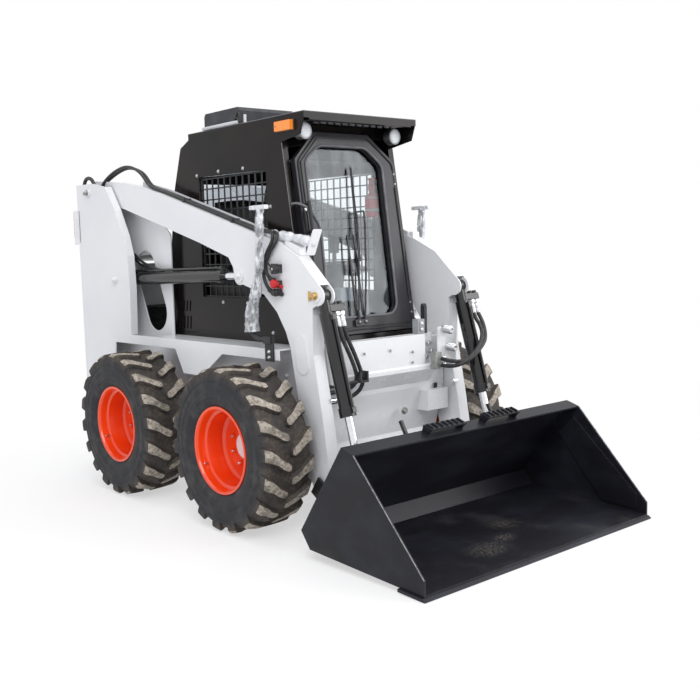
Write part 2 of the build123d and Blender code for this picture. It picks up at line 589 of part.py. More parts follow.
# Bucket: bent shell, side plates with their doublers, and two serrated steps on the top lip
BACK_FOOT, BACK_TOP, FLOOR_REAR, LIP_FRONT, FLOOR_FRONT_EDGE, SIDE_FRONT = outline([
    ("pin", -179, -96), ("pin", -463, 327), ("pin", -237, -174), ("pin", -536, 303), ("edge", 14, 17), ("edge", 14, 85)])
_, back_y, back_z = direction(BACK_FOOT, BACK_TOP)
LIP_LENGTH, lip_y, lip_z = direction(BACK_TOP, LIP_FRONT)
STEP_SIDE = 200.0
STEP_WIDTH = 240.0
STEP_RISE = 34.0
STEP_TEETH = 7


def off_wall(up, out):
    """Point beside the bucket's rear wall: up along it from its foot and out from it."""
    return (BACK_FOOT[0] + up * back_y + out * back_z, BACK_FOOT[1] + up * back_z - out * back_y)


def off_lip(forward, out):
    """Point beside the bucket's top lip: forward along it from the rear wall and out from it."""
    return (BACK_TOP[0] + forward * lip_y + out * lip_z, BACK_TOP[1] + forward * lip_z - out * lip_y)


def under_floor(rearwards):
    """Height of the floor's underside at a distance behind the front axle."""
    rise = (FLOOR_REAR[1] - FLOOR_FRONT_EDGE[1]) / (FLOOR_REAR[0] - FLOOR_FRONT_EDGE[0])
    return FLOOR_FRONT_EDGE[1] + (rearwards - FLOOR_FRONT_EDGE[0]) * rise


with BuildPart() as bucket:
    slab([FLOOR_FRONT_EDGE, FLOOR_REAR, BACK_FOOT, BACK_TOP, LIP_FRONT, off_lip(LIP_LENGTH, -BUCKET_SHEET),
          off_lip(12, -BUCKET_SHEET), off_wall(12, -BUCKET_SHEET),
          (FLOOR_REAR[0] - 3, FLOOR_REAR[1] + BUCKET_SHEET),
          (FLOOR_FRONT_EDGE[0], FLOOR_FRONT_EDGE[1] + BUCKET_SHEET)], -BUCKET_HALF, BUCKET_HALF)
    for _, side in SIDES:
        slab([FLOOR_FRONT_EDGE, SIDE_FRONT, LIP_FRONT, BACK_TOP, BACK_FOOT, FLOOR_REAR],
             *mirrored(BUCKET_HALF - BUCKET_SIDE_PLATE, BUCKET_HALF, side))
        slab([(SIDE_FRONT[0] + 52, SIDE_FRONT[1] - 40), (SIDE_FRONT[0] + 52, SIDE_FRONT[1] + 34),
              (LIP_FRONT[0] + 26, LIP_FRONT[1] - 58), (LIP_FRONT[0] + 120, LIP_FRONT[1] - 150),
              (SIDE_FRONT[0] + 250, SIDE_FRONT[1] - 30)],
             *mirrored(BUCKET_HALF - BUCKET_SIDE_PLATE - 6, BUCKET_HALF - BUCKET_SIDE_PLATE, side))
        low, high = side * STEP_SIDE - STEP_WIDTH / 2, side * STEP_SIDE + STEP_WIDTH / 2
        slab([off_lip(8, STEP_RISE), off_lip(64, STEP_RISE), off_lip(64, STEP_RISE - 6), off_lip(8, STEP_RISE - 6)],
             low, high)
        for leg in (low, high - 8):
            slab([off_lip(10, -1), off_lip(8, STEP_RISE), off_lip(64, STEP_RISE), off_lip(46, -1)], leg, leg + 8)
        for tooth in range(STEP_TEETH):
            left = low + (tooth + 0.5) * STEP_WIDTH / STEP_TEETH - 4
            slab([off_lip(10, STEP_RISE), off_lip(16, STEP_RISE + 7), off_lip(56, STEP_RISE + 7),
                  off_lip(62, STEP_RISE)], left, left + 8)
save(bucket.part, "bucket")
with BuildPart() as cutting_edge:
    edge_tip = -PIN_FORWARD - BUCKET_REACH
    edge_rear = edge_tip + EDGE_DEPTH
    slab([(edge_tip, GROUND_GAP), (edge_tip, GROUND_GAP + 3), (edge_tip + 14, under_floor(edge_tip + 14) - SEAT_GAP),
          (edge_rear, under_floor(edge_rear) - SEAT_GAP), (edge_rear, under_floor(edge_rear) - SEAT_GAP - EDGE_THICKNESS),
          (edge_tip + 20, GROUND_GAP)], -EDGE_HALF, EDGE_HALF)
save(cutting_edge.part, "cutting_edge")

# Quick-attach carrier: two pairs of ears, two cross plates, a cross tube and two lock levers
EAR = 12.0
EAR_INNER = ARM_INNER - TUB_ARM_GAP - EAR
EAR_OUTER = ARM_OUTER + TUB_ARM_GAP
EAR_ROWS = [(30, SEAT_GAP), (400, SEAT_GAP), (380, 60), (285, 155), (215, 155), (130, 100), (35, 130), (33, 245),
            (-65, 245), (-65, 130), (0, 60)]
with BuildPart() as quick_attach:
    for _, side in SIDES:
        for near in (EAR_INNER, EAR_OUTER):
            slab([off_wall(up, out) for up, out in EAR_ROWS], *mirrored(near, near + EAR, side))
    for foot, head in ((30, 130), (360, 430)):
        slab([off_wall(foot, SEAT_GAP), off_wall(head, SEAT_GAP), off_wall(head, 12), off_wall(foot, 12)],
             -EAR_OUTER - 28, EAR_OUTER + 28)
    rod_x(off_wall(330, 42), 22, -EAR_INNER, EAR_INNER)
    for _, side in SIDES:
        block_low, block_high = mirrored(300, 330, side)
        slab([off_wall(80, 12), off_wall(420, 12), off_wall(420, 34), off_wall(80, 30)], block_low, block_high)
        slab([off_wall(405, 30), off_wall(425, 30), off_wall(470, 120), off_wall(455, 128)],
             block_low + 8, block_high - 8)
        rod_x(BUCKET_PIN, 40, *mirrored(EAR_INNER, ARM_INNER - SEAT_GAP, side))
        rod_x(BUCKET_PIN, 40, *mirrored(ARM_OUTER + 8 + SEAT_GAP, EAR_OUTER + EAR, side))
        rod_x(TILT_EYE, 30, *mirrored(EAR_INNER, CYLINDER_HALF - EYE_WIDTH / 2 - SEAT_GAP, side))
        rod_x(TILT_EYE, 30, *mirrored(CYLINDER_HALF + EYE_WIDTH / 2 + SEAT_GAP, EAR_OUTER + EAR, side))
save(quick_attach.part, "quick_attach")

# Cab: two sides with visor cheeks, window and louvres, roof, rear wall and the sill and header of the door
PILLAR_TOP = outline([("roof", -7, -134)])[0]
SILL_RISE = 35.0
DOOR_FOOT_HEIGHT = DECK_HEIGHT + SILL_RISE


def lean_at(height, depth=0.0):
    """Side-view point on the cab's leaning front, at a height, set back by a depth."""
    return (PILLAR_TOP[0] - (PILLAR_TOP[1] - height) * tan(LEAN) + depth, height)


CAB_FOOT = DECK_HEIGHT + SEAT_GAP
UNDER_ROOF = ROOF_HEIGHT - ROOF_THICKNESS - SEAT_GAP
VISOR_FRONT = 186.0
CAB_REAR = outline([("roof", 850, -ROOF_THICKNESS - SEAT_GAP), ("roof", 937, -73), ("roof", 1027, -326),
                    ("roof", 1122, -865), ("front", 1136, SEAT_GAP)])
WINDOW = outline([("front", 130, 235), ("front", 130, 905), ("front", 760, 915), ("front", 760, 235)])
GUARD_WIRE = 7.0
GUARD_COLUMNS = 11
GUARD_ROWS = 11
LOUVRE_ROWS = [(DECK_HEIGHT + 146, DECK_HEIGHT + 208), (DECK_HEIGHT + 41, DECK_HEIGHT + 117)]
LOUVRE_FRONT = 901.0
LOUVRE_PITCH = 34.0


def make_cab_side(side):
    """One side of the cab, as thick as the whole wall, with its window cut and its louvres pressed in."""
    face = mirrored(CAB_HALF - CAB_WALL, CAB_HALF, side)
    with BuildPart() as cab_side:
        slab([lean_at(CAB_FOOT), lean_at(UNDER_ROOF)] + CAB_REAR, *face)
        slab([(50, PILLAR_TOP[1]), PILLAR_TOP, (-VISOR_FRONT + 31, PILLAR_TOP[1] + 24),
              (-VISOR_FRONT + 4, UNDER_ROOF), (50, UNDER_ROOF)], *mirrored(CAB_HALF - CHEEK, CAB_HALF, side))
        slab(WINDOW, *face, Mode.SUBTRACT)
        recess = mirrored(CAB_HALF - 8, CAB_HALF + 1, side)
        for low, high in LOUVRE_ROWS:
            for number in range(5):
                front = LOUVRE_FRONT + number * LOUVRE_PITCH
                slab([(front, low), (front - 10, high), (front + 4, high), (front + 14, low)], *recess, Mode.SUBTRACT)
    return cab_side.part


def make_guard(side):
    """The window's guard: a grid of square wires in a flat frame."""
    left, right = WINDOW[0][0] + SEAT_GAP, WINDOW[2][0] - SEAT_GAP
    foot, head = WINDOW[0][1] + SEAT_GAP, WINDOW[1][1] - SEAT_GAP
    face = mirrored(CAB_HALF - 20, CAB_HALF - 20 + GUARD_WIRE, side)
    plane = Plane(origin=(face[0], along((left + right) / 2), (foot + head) / 2), x_dir=(0, 1, 0), z_dir=(1, 0, 0))
    wide, tall = right - left, head - foot
    with BuildPart() as guard:
        with BuildSketch(plane):
            Rectangle(wide, tall)
            Rectangle(wide - 2 * GUARD_WIRE, tall - 2 * GUARD_WIRE, mode=Mode.SUBTRACT)
            with GridLocations(wide / GUARD_COLUMNS, 1, GUARD_COLUMNS - 1, 1):
                Rectangle(GUARD_WIRE, tall)
            with GridLocations(1, tall / GUARD_ROWS, 1, GUARD_ROWS - 1):
                Rectangle(wide, GUARD_WIRE)
        extrude(amount=face[1] - face[0])
    return guard.part


for name, side in SIDES:
    save(make_cab_side(side), f"cab_side_{name}")
with BuildPart() as side_guards:
    add([make_guard(side) for _, side in SIDES])
save(side_guards.part, "side_guards")

INNER = CAB_HALF - CAB_WALL
VISOR_LIP = 46.0
VISOR_BACK = -20.0
VISOR_SIDE = [("roof", -VISOR_FRONT, 0), ("roof", -VISOR_FRONT, -VISOR_LIP + 4), ("roof", -VISOR_FRONT + 12, -VISOR_LIP),
              ("roof", VISOR_BACK, -ROOF_THICKNESS), ("roof", 850, -ROOF_THICKNESS), ("roof", 850, 0)]
with BuildPart() as cab_roof:
    slab(outline([("roof", -VISOR_FRONT, 0), ("roof", -VISOR_FRONT, -ROOF_THICKNESS),
                  ("roof", 850, -ROOF_THICKNESS), ("roof", 850, 0)]), -CAB_HALF, CAB_HALF)
    slab(outline(VISOR_SIDE), -INNER + SEAT_GAP, INNER - SEAT_GAP)
save(cab_roof.part, "cab_roof")

REAR_GLASS_FOOT = DECK_HEIGHT + 515
REAR_GLASS_TOP = DECK_HEIGHT + 895
REAR_GLASS_HALF = 280.0
with BuildPart() as cab_rear:
    inner_rear = [(point[0] - CAB_WALL, point[1]) for point in reversed(CAB_REAR)]
    slab(CAB_REAR + inner_rear, -INNER + SEAT_GAP, INNER - SEAT_GAP)
    block((-REAR_GLASS_HALF, 900, REAR_GLASS_FOOT), (REAR_GLASS_HALF, 1200, REAR_GLASS_TOP), Mode.SUBTRACT)
save(cab_rear.part, "cab_rear")


def rear_wall_at(height, depth):
    """Side-view point inside the cab's rear wall at a height, set forward of its outside by a depth."""
    above, below = CAB_REAR[2], CAB_REAR[3]
    share = (above[1] - height) / (above[1] - below[1])
    if height > above[1]:
        above, below = CAB_REAR[1], CAB_REAR[2]
        share = (above[1] - height) / (above[1] - below[1])
    return (above[0] + share * (below[0] - above[0]) - depth, height)


with BuildPart() as rear_glass:
    heights = (REAR_GLASS_FOOT + SEAT_GAP, CAB_REAR[2][1], REAR_GLASS_TOP - SEAT_GAP)
    slab([rear_wall_at(height, 15) for height in heights]
         + [rear_wall_at(height, 15 + GLASS) for height in reversed(heights)],
         -REAR_GLASS_HALF + SEAT_GAP, REAR_GLASS_HALF - SEAT_GAP)
save(rear_glass.part, "rear_glass")
HEADER_FOOT = ROOF_HEIGHT - 92
with BuildPart() as cab_front:
    slab([lean_at(CAB_FOOT), lean_at(DOOR_FOOT_HEIGHT - 5), lean_at(DOOR_FOOT_HEIGHT - 5, 60), lean_at(CAB_FOOT, 60)],
         -INNER + SEAT_GAP, INNER - SEAT_GAP)
    slab([lean_at(HEADER_FOOT), lean_at(UNDER_ROOF), lean_at(UNDER_ROOF, 50), lean_at(HEADER_FOOT, 50)],
         -INNER + SEAT_GAP, INNER - SEAT_GAP)
save(cab_front.part, "cab_front")

with BuildPart() as ac_unit:
    slab([(355, ROOF_HEIGHT + SEAT_GAP), (345, ROOF_HEIGHT + 70), (362, ROOF_HEIGHT + 90), (668, ROOF_HEIGHT + 90),
          (680, ROOF_HEIGHT + 74), (680, ROOF_HEIGHT + SEAT_GAP)], -CAB_HALF + 2, -15)
save(ac_unit.part, "ac_unit")

SEAT_HEIGHT = DECK_HEIGHT + 225
with BuildPart() as seat:
    block((-190, 480, CAB_FOOT), (190, 830, SEAT_HEIGHT))
    slab([(400, SEAT_HEIGHT), (385, SEAT_HEIGHT + 60), (420, SEAT_HEIGHT + 105), (800, SEAT_HEIGHT + 85),
          (820, SEAT_HEIGHT)], -235, 235)
    slab([(800, SEAT_HEIGHT + 85), (790, SEAT_HEIGHT + 160), (845, SEAT_HEIGHT + 560), (900, SEAT_HEIGHT + 590),
          (935, SEAT_HEIGHT + 560), (900, SEAT_HEIGHT), (820, SEAT_HEIGHT)], -230, 230)
save(seat.part, "seat")
with BuildPart() as consoles:
    for _, side in SIDES:
        low, high = mirrored(262, 345, side)
        slab([(420, CAB_FOOT), (360, DECK_HEIGHT + 330), (380, DECK_HEIGHT + 395), (760, DECK_HEIGHT + 370),
              (780, CAB_FOOT)], low, high)
        middle = side * 303
        with BuildSketch(Plane.XY.offset(DECK_HEIGHT + 380)) as stick:
            with Locations((middle, along(400))):
                Circle(11)
        extrude(stick.sketch, amount=90)
        with BuildSketch(Plane.XY.offset(DECK_HEIGHT + 460)) as grip:
            with Locations((middle, along(398))):
                RectangleRounded(42, 50, 14)
        extrude(grip.sketch, amount=105, taper=-4)
save(consoles.part, "consoles")

# Front door, on the leaning plane of the cab's front; outlines are (across, up the door)
DOOR_FOOT = lean_at(DOOR_FOOT_HEIGHT)
DOOR_TALL = (ROOF_HEIGHT - 82 - DOOR_FOOT_HEIGHT) / cos(LEAN)
DOOR_SHOULDER = 146.0
door_plane = Plane(origin=(0, *at(DOOR_FOOT)), x_dir=(1, 0, 0), z_dir=(0, -cos(LEAN), sin(LEAN)))
DOOR_OUTLINE = [(-DOOR_HALF, 0), (DOOR_HALF, 0), (DOOR_HALF, DOOR_TALL - DOOR_SHOULDER), (180, DOOR_TALL),
                (-205, DOOR_TALL), (-DOOR_HALF, DOOR_TALL - DOOR_SHOULDER)]
GLASS_OUTLINE = [(-196, 88), (188, 88), (230, 132), (252, DOOR_TALL - 166), (140, DOOR_TALL - 72),
                 (-188, DOOR_TALL - 72), (-290, DOOR_TALL - 148), (-298, 650), (-245, 566), (-262, 150)]
DOOR_KNUCKLE_X = DOOR_HALF + 14
HANDLE_FOOT = 540.0
HANDLE_HEAD = 680.0
with BuildPart() as door:
    with BuildSketch(door_plane.offset(SEAT_GAP)):
        with BuildLine():
            Polyline(*DOOR_OUTLINE, close=True)
        make_face()
        with BuildLine():
            Polyline(*GLASS_OUTLINE, close=True)
        make_face(mode=Mode.SUBTRACT)
    extrude(amount=DOOR_THICKNESS)
    with BuildSketch(door_plane.offset(DOOR_THICKNESS)):
        with BuildLine():
            Polyline(*DOOR_OUTLINE, close=True)
        make_face()
        offset(amount=-34, kind=Kind.INTERSECTION, mode=Mode.REPLACE)
        with BuildLine():
            Polyline(*GLASS_OUTLINE, close=True)
        make_face(mode=Mode.SUBTRACT)
    extrude(amount=6)
    for height in (60, 770):
        low_plane = Plane(origin=door_plane.from_local_coords((0, height, 0)), x_dir=(1, 0, 0), z_dir=door_plane.y_dir)
        with BuildSketch(low_plane) as knuckle:
            with Locations((DOOR_KNUCKLE_X, -KNUCKLE_RADIUS - SEAT_GAP)):
                Circle(KNUCKLE_RADIUS)
            with Locations((DOOR_KNUCKLE_X - 20, -KNUCKLE_RADIUS - SEAT_GAP)):
                Rectangle(40, 12)
        extrude(knuckle.sketch, amount=110)
    for height in (HANDLE_FOOT, HANDLE_HEAD):
        with BuildSketch(door_plane.offset(DOOR_THICKNESS)) as post:
            with Locations((-DOOR_HALF + 24, height)):
                Circle(8)
        extrude(post.sketch, amount=40)
    with BuildSketch(Plane(origin=door_plane.from_local_coords((-DOOR_HALF + 24, HANDLE_FOOT - 12, DOOR_THICKNESS + 40)),
                           x_dir=(1, 0, 0), z_dir=door_plane.y_dir)) as grip:
        Circle(9)
    extrude(grip.sketch, amount=HANDLE_HEAD - HANDLE_FOOT + 24)
    for left, right in ((-82, -70), (-36, -24)):
        with BuildSketch(door_plane.offset(DOOR_THICKNESS + 6)) as wiper_arm:
            with BuildLine():
                Polyline((left, 60), (right, 60), (right + 4, 520), (left + 6, 520), close=True)
            make_face()
        extrude(wiper_arm.sketch, amount=7)
    with BuildSketch(door_plane.offset(DOOR_THICKNESS)) as wiper_motor:
        with Locations((-53, 55)):
            Rectangle(92, 34)
    extrude(wiper_motor.sketch, amount=20)
save(door.part, "door")
with BuildPart() as door_glass:
    with BuildSketch(door_plane.offset(12)):
        with BuildLine():
            Polyline(*GLASS_OUTLINE, close=True)
        make_face()
    extrude(amount=GLASS)
save(door_glass.part, "door_glass")

# Lamps
LAMP_X = 318.0
LAMP_RADIUS = 42.0
LAMP_DEPTH = 42.0
LAMP_REAR = -58.0
LAMP_HEIGHT = ROOF_HEIGHT - VISOR_LIP - LAMP_RADIUS + 3
LAMP_FOOT = 24.0


def under_visor(rearwards):
    """Height of the visor's underside at a distance behind the front axle."""
    share = (VISOR_BACK - rearwards) / (VISOR_BACK + VISOR_FRONT - 12)
    return ROOF_HEIGHT - ROOF_THICKNESS - share * (VISOR_LIP - ROOF_THICKNESS)


with BuildPart() as work_lamps:
    lamp_middle = LAMP_REAR - LAMP_DEPTH / 2
    foot_top = under_visor(lamp_middle - LAMP_FOOT / 2) - SEAT_GAP
    for _, side in SIDES:
        rod_forward(side * LAMP_X, (LAMP_REAR, LAMP_HEIGHT), LAMP_RADIUS, LAMP_DEPTH)
        near, far = mirrored(LAMP_X - LAMP_FOOT / 2, LAMP_X + LAMP_FOOT / 2, side)
        block((near, lamp_middle - LAMP_FOOT / 2, LAMP_HEIGHT), (far, lamp_middle + LAMP_FOOT / 2, foot_top))
save(work_lamps.part, "work_lamps")
with BuildPart() as marker_lamps:
    for _, side in SIDES:
        low, high = mirrored(CAB_HALF + SEAT_GAP, CAB_HALF + 26, side)
        block((low, -108, ROOF_HEIGHT - 83), (high, 18, ROOF_HEIGHT - 35))
save(marker_lamps.part, "marker_lamps")
with BuildPart() as tail_lamps:
    for _, side in SIDES:
        low, high = mirrored(SIDE_PLATE_HALF - 62, SIDE_PLATE_HALF - 10, side)
        block((low, TOWER_REAR + SEAT_GAP, ARM_PIVOT[1] - 284), (high, TOWER_REAR + 22, ARM_PIVOT[1] - 110))
save(tail_lamps.part, "tail_lamps")
print("length", LENGTH, "front axle", FRONT_AXLE_Y)
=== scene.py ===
"""Looks of a skid steer loader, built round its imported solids.

Every size is in millimetres, seen from the machine: x to the operator's left, rearwards
of the front axle, and up from the ground. Blender's own objects are in metres.
"""

from __future__ import annotations

import logging
import math
import random
from dataclasses import dataclass
from enum import Enum
from typing import Iterable, Sequence, Union

import bmesh
import bpy
from mathutils import Matrix, Vector


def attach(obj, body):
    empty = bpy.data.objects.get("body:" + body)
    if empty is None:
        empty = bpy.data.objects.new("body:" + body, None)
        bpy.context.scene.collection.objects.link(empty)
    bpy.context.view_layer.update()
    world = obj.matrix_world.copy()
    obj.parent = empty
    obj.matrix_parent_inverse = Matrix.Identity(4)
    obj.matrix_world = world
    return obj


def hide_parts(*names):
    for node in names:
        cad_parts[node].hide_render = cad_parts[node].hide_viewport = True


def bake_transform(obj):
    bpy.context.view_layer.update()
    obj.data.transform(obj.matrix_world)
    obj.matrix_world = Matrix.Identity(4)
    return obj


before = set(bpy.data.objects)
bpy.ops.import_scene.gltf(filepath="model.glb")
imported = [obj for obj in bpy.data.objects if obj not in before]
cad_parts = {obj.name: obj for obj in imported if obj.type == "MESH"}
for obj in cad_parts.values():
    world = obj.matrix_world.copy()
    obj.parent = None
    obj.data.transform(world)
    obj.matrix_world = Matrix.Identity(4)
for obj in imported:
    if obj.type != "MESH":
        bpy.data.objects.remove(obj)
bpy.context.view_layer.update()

log = logging.getLogger("loader")

MM = 0.001
FRONT_AXLE_Y = -305.0
WHEELBASE = 1055.0
TYRE_RADIUS = 416.0
TYRE_MID = 717.0
DECK = 905.0
ROOF = 2072.0
TAIL = 1950.0
CAB_HALF = 397.0
ARM_OUTER = 522.0
ARM_INNER = 450.0
PLATE_HALF = 580.0
ARM_PIVOT = (1760.0, 1796.0)
LIFT_BASE = (1463.0, 1243.0)
LIFT_EYE = (225.0, 1265.0)
TILT_BASE = (-395.0, 1170.0)
TILT_EYE = (-612.0, 400.0)
BUCKET_PIN = (-395.0, 225.0)
LEAN = math.radians(8.9)
DOOR_FOOT = (-163.3, 940.0)
EDGE_TIP = -1340.0
BUCKET_HALF = 810.0
DOOR_OUT = (0.0, -math.cos(LEAN), math.sin(LEAN))
CYLINDER_HALF = 486.0
SIDES = (("right", -1), ("left", 1))

Point = tuple[float, float, float]
Colour = tuple[float, float, float]


def spot(x: float, rearwards: float, up: float) -> Vector:
    """Place in Blender's metres of a point given in the machine's millimetres."""
    return Vector((x, FRONT_AXLE_Y + rearwards, up)) * MM


def on_door(across: float, up: float, out: float) -> Vector:
    """Place of a point on the leaning door: across it, up it and out from it in millimetres."""
    return spot(
        across, DOOR_FOOT[0] + up * math.sin(LEAN) - out * math.cos(LEAN),
        DOOR_FOOT[1] + up * math.cos(LEAN) + out * math.sin(LEAN),
    )


def door_frame(out: float) -> Matrix:
    """Frame on the leaning door: X across it, Y up it and Z out, at a height over its foot line."""
    turn = Matrix(
        (
            (1.0, 0.0, 0.0), (0.0, math.sin(LEAN), -math.cos(LEAN)),
            (0.0, math.cos(LEAN), math.sin(LEAN)),
        )
    ).to_4x4()
    turn.translation = on_door(0, 0, out)
    return turn


def tilt_frame(side: int) -> Matrix:
    """Frame of a tilt cylinder: X to the left, Y forwards from the barrel and Z down along it."""
    length = math.dist(TILT_BASE, TILT_EYE)
    down = ((TILT_EYE[0] - TILT_BASE[0]) / length, (TILT_EYE[1] - TILT_BASE[1]) / length)
    return facing(spot(side * CYLINDER_HALF, *TILT_BASE), (0, *down), (0, -1, 0))


def rounded_outline(
    corners: Sequence[tuple[float, float]], radius: float, steps: int = 5
) -> list[tuple[float, float]]:
    """Round the corners of a closed outline.

    Args:
        corners: its corners, in order.
        radius: how far each corner is cut back along both sides.
        steps: points on each corner.

    Returns:
        The rounded outline's points.
    """
    points = []
    count = len(corners)
    for index, corner in enumerate(corners):
        middle = Vector(corner)
        ends = []
        for other in (corners[index - 1], corners[(index + 1) % count]):
            way = Vector(other) - middle
            ends.append(middle + way.normalized() * min(radius, way.length * 0.45))
        for step in range(steps + 1):
            t = step / steps
            place = ends[0] * (1 - t) ** 2 + middle * 2 * t * (1 - t) + ends[1] * t * t
            points.append((place.x, place.y))
    return points


def smooth_line(corners: Sequence[Vector], steps: int = 6) -> list[Vector]:
    """Round a route into one soft curve.

    Args:
        corners: the route's points.
        steps: how many places are read between two corners.

    Returns:
        Places along the curve, from the first corner to the last.
    """
    padded = [corners[0] * 2 - corners[1], *corners, corners[-1] * 2 - corners[-2]]
    line = []
    for before, middle, after in zip(padded, padded[1:], padded[2:]):
        start, end = (before + middle) / 2, (middle + after) / 2
        for step in range(steps):
            t = step / steps
            line.append(start * (1 - t) ** 2 + middle * 2 * t * (1 - t) + end * t * t)
    ahead, behind = corners[1] - corners[0], corners[-2] - corners[-1]
    first = next(i for i, place in enumerate(line) if (place - corners[0]).dot(ahead) > 0)
    last = next(i for i, place in enumerate(line[::-1]) if (place - corners[-1]).dot(behind) > 0)
    return [corners[0], *line[first:len(line) - last], corners[-1]]


# Shader tools


class Signal:
    """One output of a shader node, used as a number in Python expressions."""

    def __init__(self, graph: "Graph", socket: bpy.types.NodeSocket | None) -> None:
        """Keep the graph and the socket that carries the value."""
        self.graph = graph
        self.socket = socket

    def maths(self, operation: str, first: "Number", second: "Number" = 0.0) -> "Signal":
        """Value of a Math node with this operation on two numbers or signals."""
        return self.graph.node("ShaderNodeMath", {"operation": operation}, {0: first, 1: second})

    def __add__(self, other: "Number") -> "Signal":
        """Sum with a number or signal."""
        return self.maths("ADD", self, other)

    __radd__ = __add__

    def __sub__(self, other: "Number") -> "Signal":
        """This less a number or signal."""
        return self.maths("SUBTRACT", self, other)

    def __rsub__(self, other: "Number") -> "Signal":
        """A number less this."""
        return self.maths("SUBTRACT", other, self)

    def __mul__(self, other: "Number") -> "Signal":
        """Product with a number or signal."""
        return self.maths("MULTIPLY", self, other)

    __rmul__ = __mul__

    def __truediv__(self, other: "Number") -> "Signal":
        """This divided by a number or signal."""
        return self.maths("DIVIDE", self, other)

    def __pow__(self, power: "Number") -> "Signal":
        """This raised to a power."""
        return self.maths("POWER", self, power)

    def step(self, low: float, high: float) -> "Signal":
        """Smooth rise from 0 to 1 between two values of this signal."""
        return self.graph.node(
            "ShaderNodeMapRange", {"interpolation_type": "SMOOTHSTEP", "clamp": True},
            {0: self, 1: low, 2: high, 3: 0.0, 4: 1.0},
        )


Number = Union[float, Signal]


class Graph:
    """The node graph of one material, or of the sky, while it is being put together."""

    def __init__(self, name: str, sky: bool = False) -> None:
        """Start an empty graph.

        Args:
            name: the material's name, or the sky's.
            sky: whether the graph lights the world in place of a surface.
        """
        self.material = bpy.data.worlds.new(name) if sky else bpy.data.materials.new(name)
        self.material.use_nodes = True
        self.tree = self.material.node_tree
        self.tree.nodes.clear()
        self.sky = sky

    def node(
        self,
        kind: str,
        settings: dict[str, object] | None = None,
        values: dict[object, object] | None = None,
        output: int | str = 0,
    ) -> Signal:
        """Add one node.

        Args:
            kind: the node's type name.
            settings: attributes that are set first.
            values: numbers, colours or signals by input name or number.
            output: which output to return.

        Returns:
            The chosen output as a signal.
        """
        node = self.tree.nodes.new(kind)
        for key, value in (settings or {}).items():
            setattr(node, key, value)
        for key, value in (values or {}).items():
            if isinstance(value, Signal):
                self.tree.links.new(value.socket, node.inputs[key])
            else:
                node.inputs[key].default_value = value
        return Signal(self, node.outputs[output] if node.outputs else None)

    def place(self) -> Signal:
        """Coordinates of the surface in the piece's own frame, in metres."""
        return self.node("ShaderNodeTexCoord", output="Object")

    def axes(self, vector: Signal) -> tuple[Signal, Signal, Signal]:
        """The three parts of a vector."""
        split = self.node("ShaderNodeSeparateXYZ", None, {0: vector}).socket.node
        return tuple(Signal(self, split.outputs[index]) for index in range(3))

    def stretched(self, vector: Signal, by: Point) -> Signal:
        """A vector multiplied along each axis."""
        return self.node("ShaderNodeVectorMath", {"operation": "MULTIPLY"}, {0: vector, 1: by})

    def noise(
        self, vector: Signal, scale: float, detail: float = 3.0, roughness: float = 0.55
    ) -> Signal:
        """Soft noise from 0 to 1 whose features are about 1/scale metres wide."""
        return self.node(
            "ShaderNodeTexNoise", None,
            {"Vector": vector, "Scale": scale, "Detail": detail, "Roughness": roughness}
        )

    def cells(self, vector: Signal, scale: float) -> Signal:
        """Distance to the nearest of scattered points."""
        return self.node("ShaderNodeTexVoronoi", None, {"Vector": vector, "Scale": scale})

    def mixed(self, factor: Number, first: object, second: object) -> Signal:
        """Colour between two colours, each a (red, green, blue) or a signal."""
        ends = [end if isinstance(end, Signal) else (*end, 1.0) for end in (first, second)]
        return self.node(
            "ShaderNodeMix", {"data_type": "RGBA"}, {0: factor, 6: ends[0], 7: ends[1]}, output=2
        )

    def rounded(self, radius: float) -> Signal:
        """Normal that rounds the solid's sharp edges by a radius in metres."""
        return self.node("ShaderNodeBevel", {"samples": 4}, {"Radius": radius})

    def bump(
        self, height: Signal, strength: float, depth: float, normal: Signal | None = None
    ) -> Signal:
        """Normal of a surface whose height varies.

        Args:
            height: the height, from 0 to 1.
            strength: share of the effect, from 0 to 1.
            depth: metres that a height of 1 stands for.
            normal: the normal that the bumps start from.

        Returns:
            The bumped normal.
        """
        values: dict[object, object] = {"Height": height, "Strength": strength, "Distance": depth}
        if normal is not None:
            values["Normal"] = normal
        return self.node("ShaderNodeBump", None, values)

    def seen(self) -> Signal:
        """1 for what the camera, a mirror or a pane shows, and 0 for light that falls on things."""
        path = self.node("ShaderNodeLightPath").socket.node
        rays = [
            Signal(self, path.outputs[f"Is {kind} Ray"])
            for kind in ("Camera", "Glossy", "Transmission")
        ]
        return rays[0].maths("MAXIMUM", rays[0].maths("MAXIMUM", rays[0], rays[1]), rays[2])

    def finish(self, shader: Signal) -> bpy.types.Material | bpy.types.World:
        """Connect the last shader to the output of the material or the sky."""
        self.node(
            "ShaderNodeOutputWorld" if self.sky else "ShaderNodeOutputMaterial", None,
            {"Surface": shader}
        )
        return self.material

    def principled(self, **values: object) -> Signal:
        """Principled shader with inputs named by words joined with underscores."""
        named: dict[object, object] = {}
        for key, value in values.items():
            name = " ".join(
                word.upper() if word == "ior" else word.capitalize() for word in key.split("_")
            )
            if isinstance(value, tuple) and len(value) == 3:
                value = (*value, 1.0)
            named[name] = value
        return self.node("ShaderNodeBsdfPrincipled", None, named)


# Finishes

_made: dict[object, bpy.types.Material] = {}


@dataclass(frozen=True)
class Finish:
    """A surface finish that makes its own material once."""

    name: str

    def build(self) -> bpy.types.Material:
        """Make the material; each kind of finish has its own."""
        raise NotImplementedError

    def material(self) -> bpy.types.Material:
        """The finish's material, made on first use."""
        if self not in _made:
            _made[self] = self.build()
        return _made[self]


